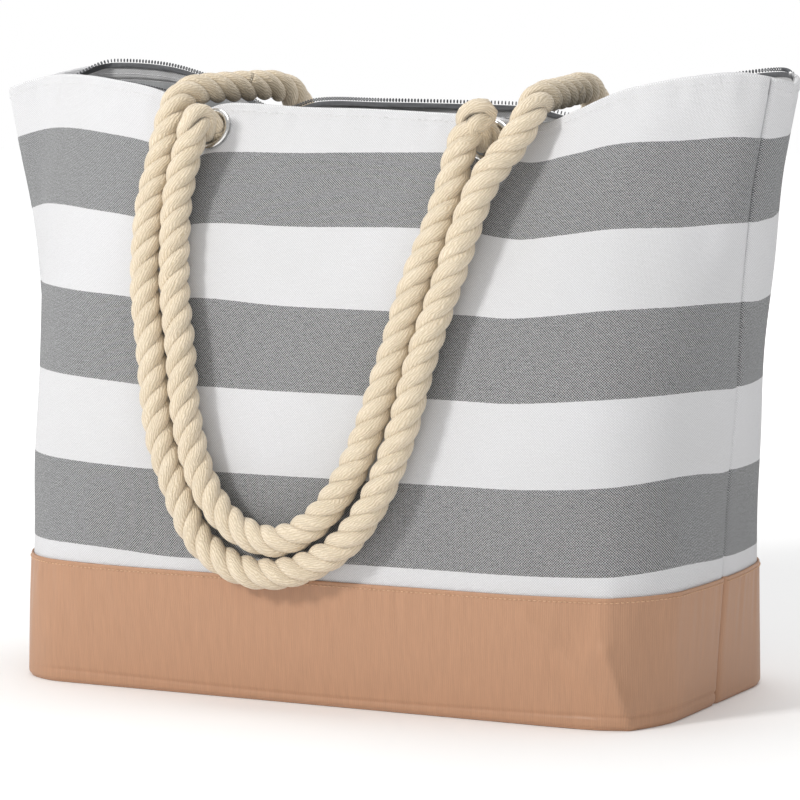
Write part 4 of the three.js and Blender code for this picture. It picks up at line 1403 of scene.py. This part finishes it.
class BAG_OT_zip(Maker, bpy.types.Operator):
    """Sew in the zip: two tapes, two rows of teeth, the slider, its pull and the stops"""

    bl_idname = "beach_bag.zip"
    bl_label = "Zip"

    def execute(self, context):
        for side in ("front", "back"):
            s = np.concatenate([np.linspace(ZIP_FROM, ZIP_OPEN, 70)[:-1], np.linspace(ZIP_OPEN, ZIP_TO, 330)])
            opened = fade(s, ZIP_CLOSED, ZIP_OPEN)
            drop = np.stack([0 * s, 0 * s, -6.2 * MM + 3.8 * MM * opened], -1)
            hem = beside_rim(side, s, 4.5 * MM, 0) + drop
            teeth = teeth_line(side, s)
            edge = teeth + (hem - teeth) / np.linalg.norm(hem - teeth, axis=1, keepdims=True) * 1.5 * MM
            rise = edge - hem
            normal = np.cross(np.gradient(hem, axis=0), rise)
            normal /= np.linalg.norm(normal, axis=1, keepdims=True)
            v = np.linspace(0, 1, 7)[:, None, None]
            sheet = hem[None] * (1 - v) + edge[None] * v
            ripple = 0.22 * MM * np.sin(math.pi * v) * np.sin(s * 140 + 0.6)[None, :, None]
            sheet = sheet + normal[None] * ripple
            across = np.linalg.norm(rise, axis=1)[None, :] * v[..., 0]
            uv = np.stack([np.broadcast_to(s * 0.574, across.shape), across], -1)
            thing = cloth(f"{side}_zip_tape", (sheet + normal[None] * 0.28 * MM, uv),
                          (sheet - normal[None] * 0.28 * MM, uv), fold=0)
            finished(thing, "tape", replaces=[f"{side}_zipper_tape"])
            line = teeth_line(side, np.linspace(ZIP_FROM, ZIP_TO, 1500))
            along = lengths_along(line)
            start = sizes().tooth * (0.25 if side == "front" else 0.75)
            at = np.arange(start, along[-1] - 0.001, sizes().tooth)
            middle = resampled(line, at)
            run = resampled(line, at + 0.001) - resampled(line, at - 0.001)
            run[:, 2] *= 0.999
            run /= np.linalg.norm(run, axis=1, keepdims=True)
            flat = np.cross((0, 0, 1), run)
            flat /= np.linalg.norm(flat, axis=1, keepdims=True)
            up = np.cross(run, flat)
            finished(tooth_row(f"{side}_zip_teeth", middle, run, flat, up), "coil", replaces=[f"{side}_zipper_coil"])
        for node, name in (("front_zipper_stop", "front_zip_stop"), ("back_zipper_stop", "back_zip_stop"),
                           ("zipper_end_stop", "zip_end_stop")):
            finished(smooth_copy(node, name, 0.25 * MM), "steel", replaces=[node])
        for node, name, edge in (("zipper_slider", "slider", 0.22), ("zipper_pull", "pull", 0.2)):
            finished(smooth_copy(node, name, edge * MM), "steel", body=node, replaces=[node])
        return {"FINISHED"}


def tooth_row(name, middle, run, flat, up):
    """One row of a moulded coil: each turn is a rounded oval loop across the tape."""
    sides, rings = 7, 10
    turn = np.arange(sides) / sides * 2 * math.pi
    thick = 0.33 * MM
    points = []
    for k in range(rings):
        a = k / rings * 2 * math.pi
        centre = middle + flat * (math.cos(a) * 0.86 * MM) + up * (math.sin(a) * 0.82 * MM) + run * (
            0.32 * MM * math.sin(a / 2))
        outward_way = flat * math.cos(a) + up * math.sin(a)
        ring = np.cos(turn)[None, :, None] * outward_way[:, None] + np.sin(turn)[None, :, None] * run[:, None]
        points.append(centre[:, None] + ring * thick)
    points = np.stack(points, axis=1).reshape(-1, 3)
    single = []
    for i in range(rings):
        for j in range(sides):
            k, m = (j + 1) % sides, (i + 1) % rings
            single.append((i * sides + j, i * sides + k, m * sides + k, m * sides + j))
    faces = []
    for i in range(len(middle)):
        faces += [tuple(i * sides * rings + k for k in f) for f in single]
    thing = new_mesh(name, points, faces)
    face_outward(thing)
    return thing


class BAG_OT_stage(Maker, bpy.types.Operator):
    """Set the pale floor, the soft lights and the plain surroundings"""

    bl_idname = "beach_bag.stage"
    bl_label = "Floor and Lights"

    def execute(self, context):
        bpy.ops.object.select_all(action="DESELECT")
        bpy.ops.mesh.primitive_plane_add(size=12, location=(0, 0, -0.0002))
        floor = context.object
        floor.name = "floor"
        bpy.ops.object.transform_apply(location=True, rotation=True, scale=True)
        made, shade, surface = new_material("White Floor", Roughness=0.8, Specular_IOR_Level=0.2)
        place = shade.add("ShaderNodeTexCoord").outputs["Object"]
        grain = shade.noise(place, 4.0)
        far = shade.add("ShaderNodeVectorMath", {0: place}, operation="LENGTH").outputs["Value"]
        glow = shade.remap(far, 0.45, 1.6, 0.06, 0.62)
        glow = shade.add("ShaderNodeCombineColor", {0: glow, 1: glow, 2: glow}).outputs[0]
        surface.inputs["Emission Strength"].default_value = 1.0
        join(shade, surface, Emission_Color=glow)
        join(shade, surface, Base_Color=shade.mix(grain, (0.90, 0.90, 0.90, 1), (0.93, 0.93, 0.93, 1)))
        floor.data.materials.append(made)
        world = bpy.data.worlds.new("White Room")
        world.use_nodes = True
        surround = world.node_tree.nodes["Background"]
        surround.inputs["Color"].default_value = (1, 1, 1, 1)
        surround.inputs["Strength"].default_value = 0.50
        # a plain white wall of light is what shows behind the bag
        sky = Shade(world.node_tree)
        seen = sky.add("ShaderNodeBackground", {"Color": (1, 1, 1, 1), "Strength": 1.0}).outputs[0]
        chosen = sky.add("ShaderNodeMixShader", {
            0: sky.add("ShaderNodeLightPath").outputs["Is Camera Ray"], 1: surround.outputs[0], 2: seen})
        sky.tree.links.new(chosen.outputs[0], world.node_tree.nodes["World Output"].inputs[0])
        context.scene.world = world
        for name, place, size, power in (
                ("Key", (-1.25, -2.2, 1.55), 0.5, 46), ("Fill", (1.6, -2.2, 0.9), 1.6, 8),
                ("Top", (0.0, 0.5, 2.4), 1.8, 26)):
            lamp = bpy.data.lights.new(name, "AREA")
            lamp.energy, lamp.size = power, size
            lamp.color = (1, 0.99, 0.97) if name == "Key" else (1, 1, 1)
            thing = bpy.data.objects.new(name, lamp)
            thing.location = place
            thing.rotation_euler = (Vector((0, 0, 0.16)) - Vector(place)).to_track_quat("-Z", "Y").to_euler()
            context.scene.collection.objects.link(thing)
        context.scene.view_settings.view_transform = "Standard"
        return {"FINISHED"}


STEPS = (
    BAG_OT_camera, BAG_OT_front_handle, BAG_OT_back_handle, BAG_OT_canvas, BAG_OT_base_band, BAG_OT_rim_stitches,
    BAG_OT_bottom, BAG_OT_lining, BAG_OT_eyelets, BAG_OT_zip, BAG_OT_stage,
)


class BAG_PT_panel(bpy.types.Panel):
    """Lists the steps that make the bag, with its sizes and colours"""

    bl_idname = "BAG_PT_panel"
    bl_label = "Beach Bag"
    bl_space_type = "VIEW_3D"
    bl_region_type = "UI"
    bl_category = "Beach Bag"

    def draw(self, context):
        for group in (context.scene.bag_sizes, context.scene.bag_colours):
            for key in group.__annotations__:
                self.layout.prop(group, key)
        for step in STEPS:
            self.layout.operator(step.bl_idname)


CLASSES = (BagSizes, BagColours, *STEPS, BAG_PT_panel)


def register():
    for made in CLASSES:
        bpy.utils.register_class(made)
    bpy.types.Scene.bag_sizes = bpy.props.PointerProperty(type=BagSizes)
    bpy.types.Scene.bag_colours = bpy.props.PointerProperty(type=BagColours)


def unregister():
    del bpy.types.Scene.bag_colours
    del bpy.types.Scene.bag_sizes
    for made in reversed(CLASSES):
        bpy.utils.unregister_class(made)


def main():
    register()
    for step in STEPS:
        group, name = step.bl_idname.split(".")
        getattr(getattr(bpy.ops, group), name)()


if __name__ == "__main__":
    main()
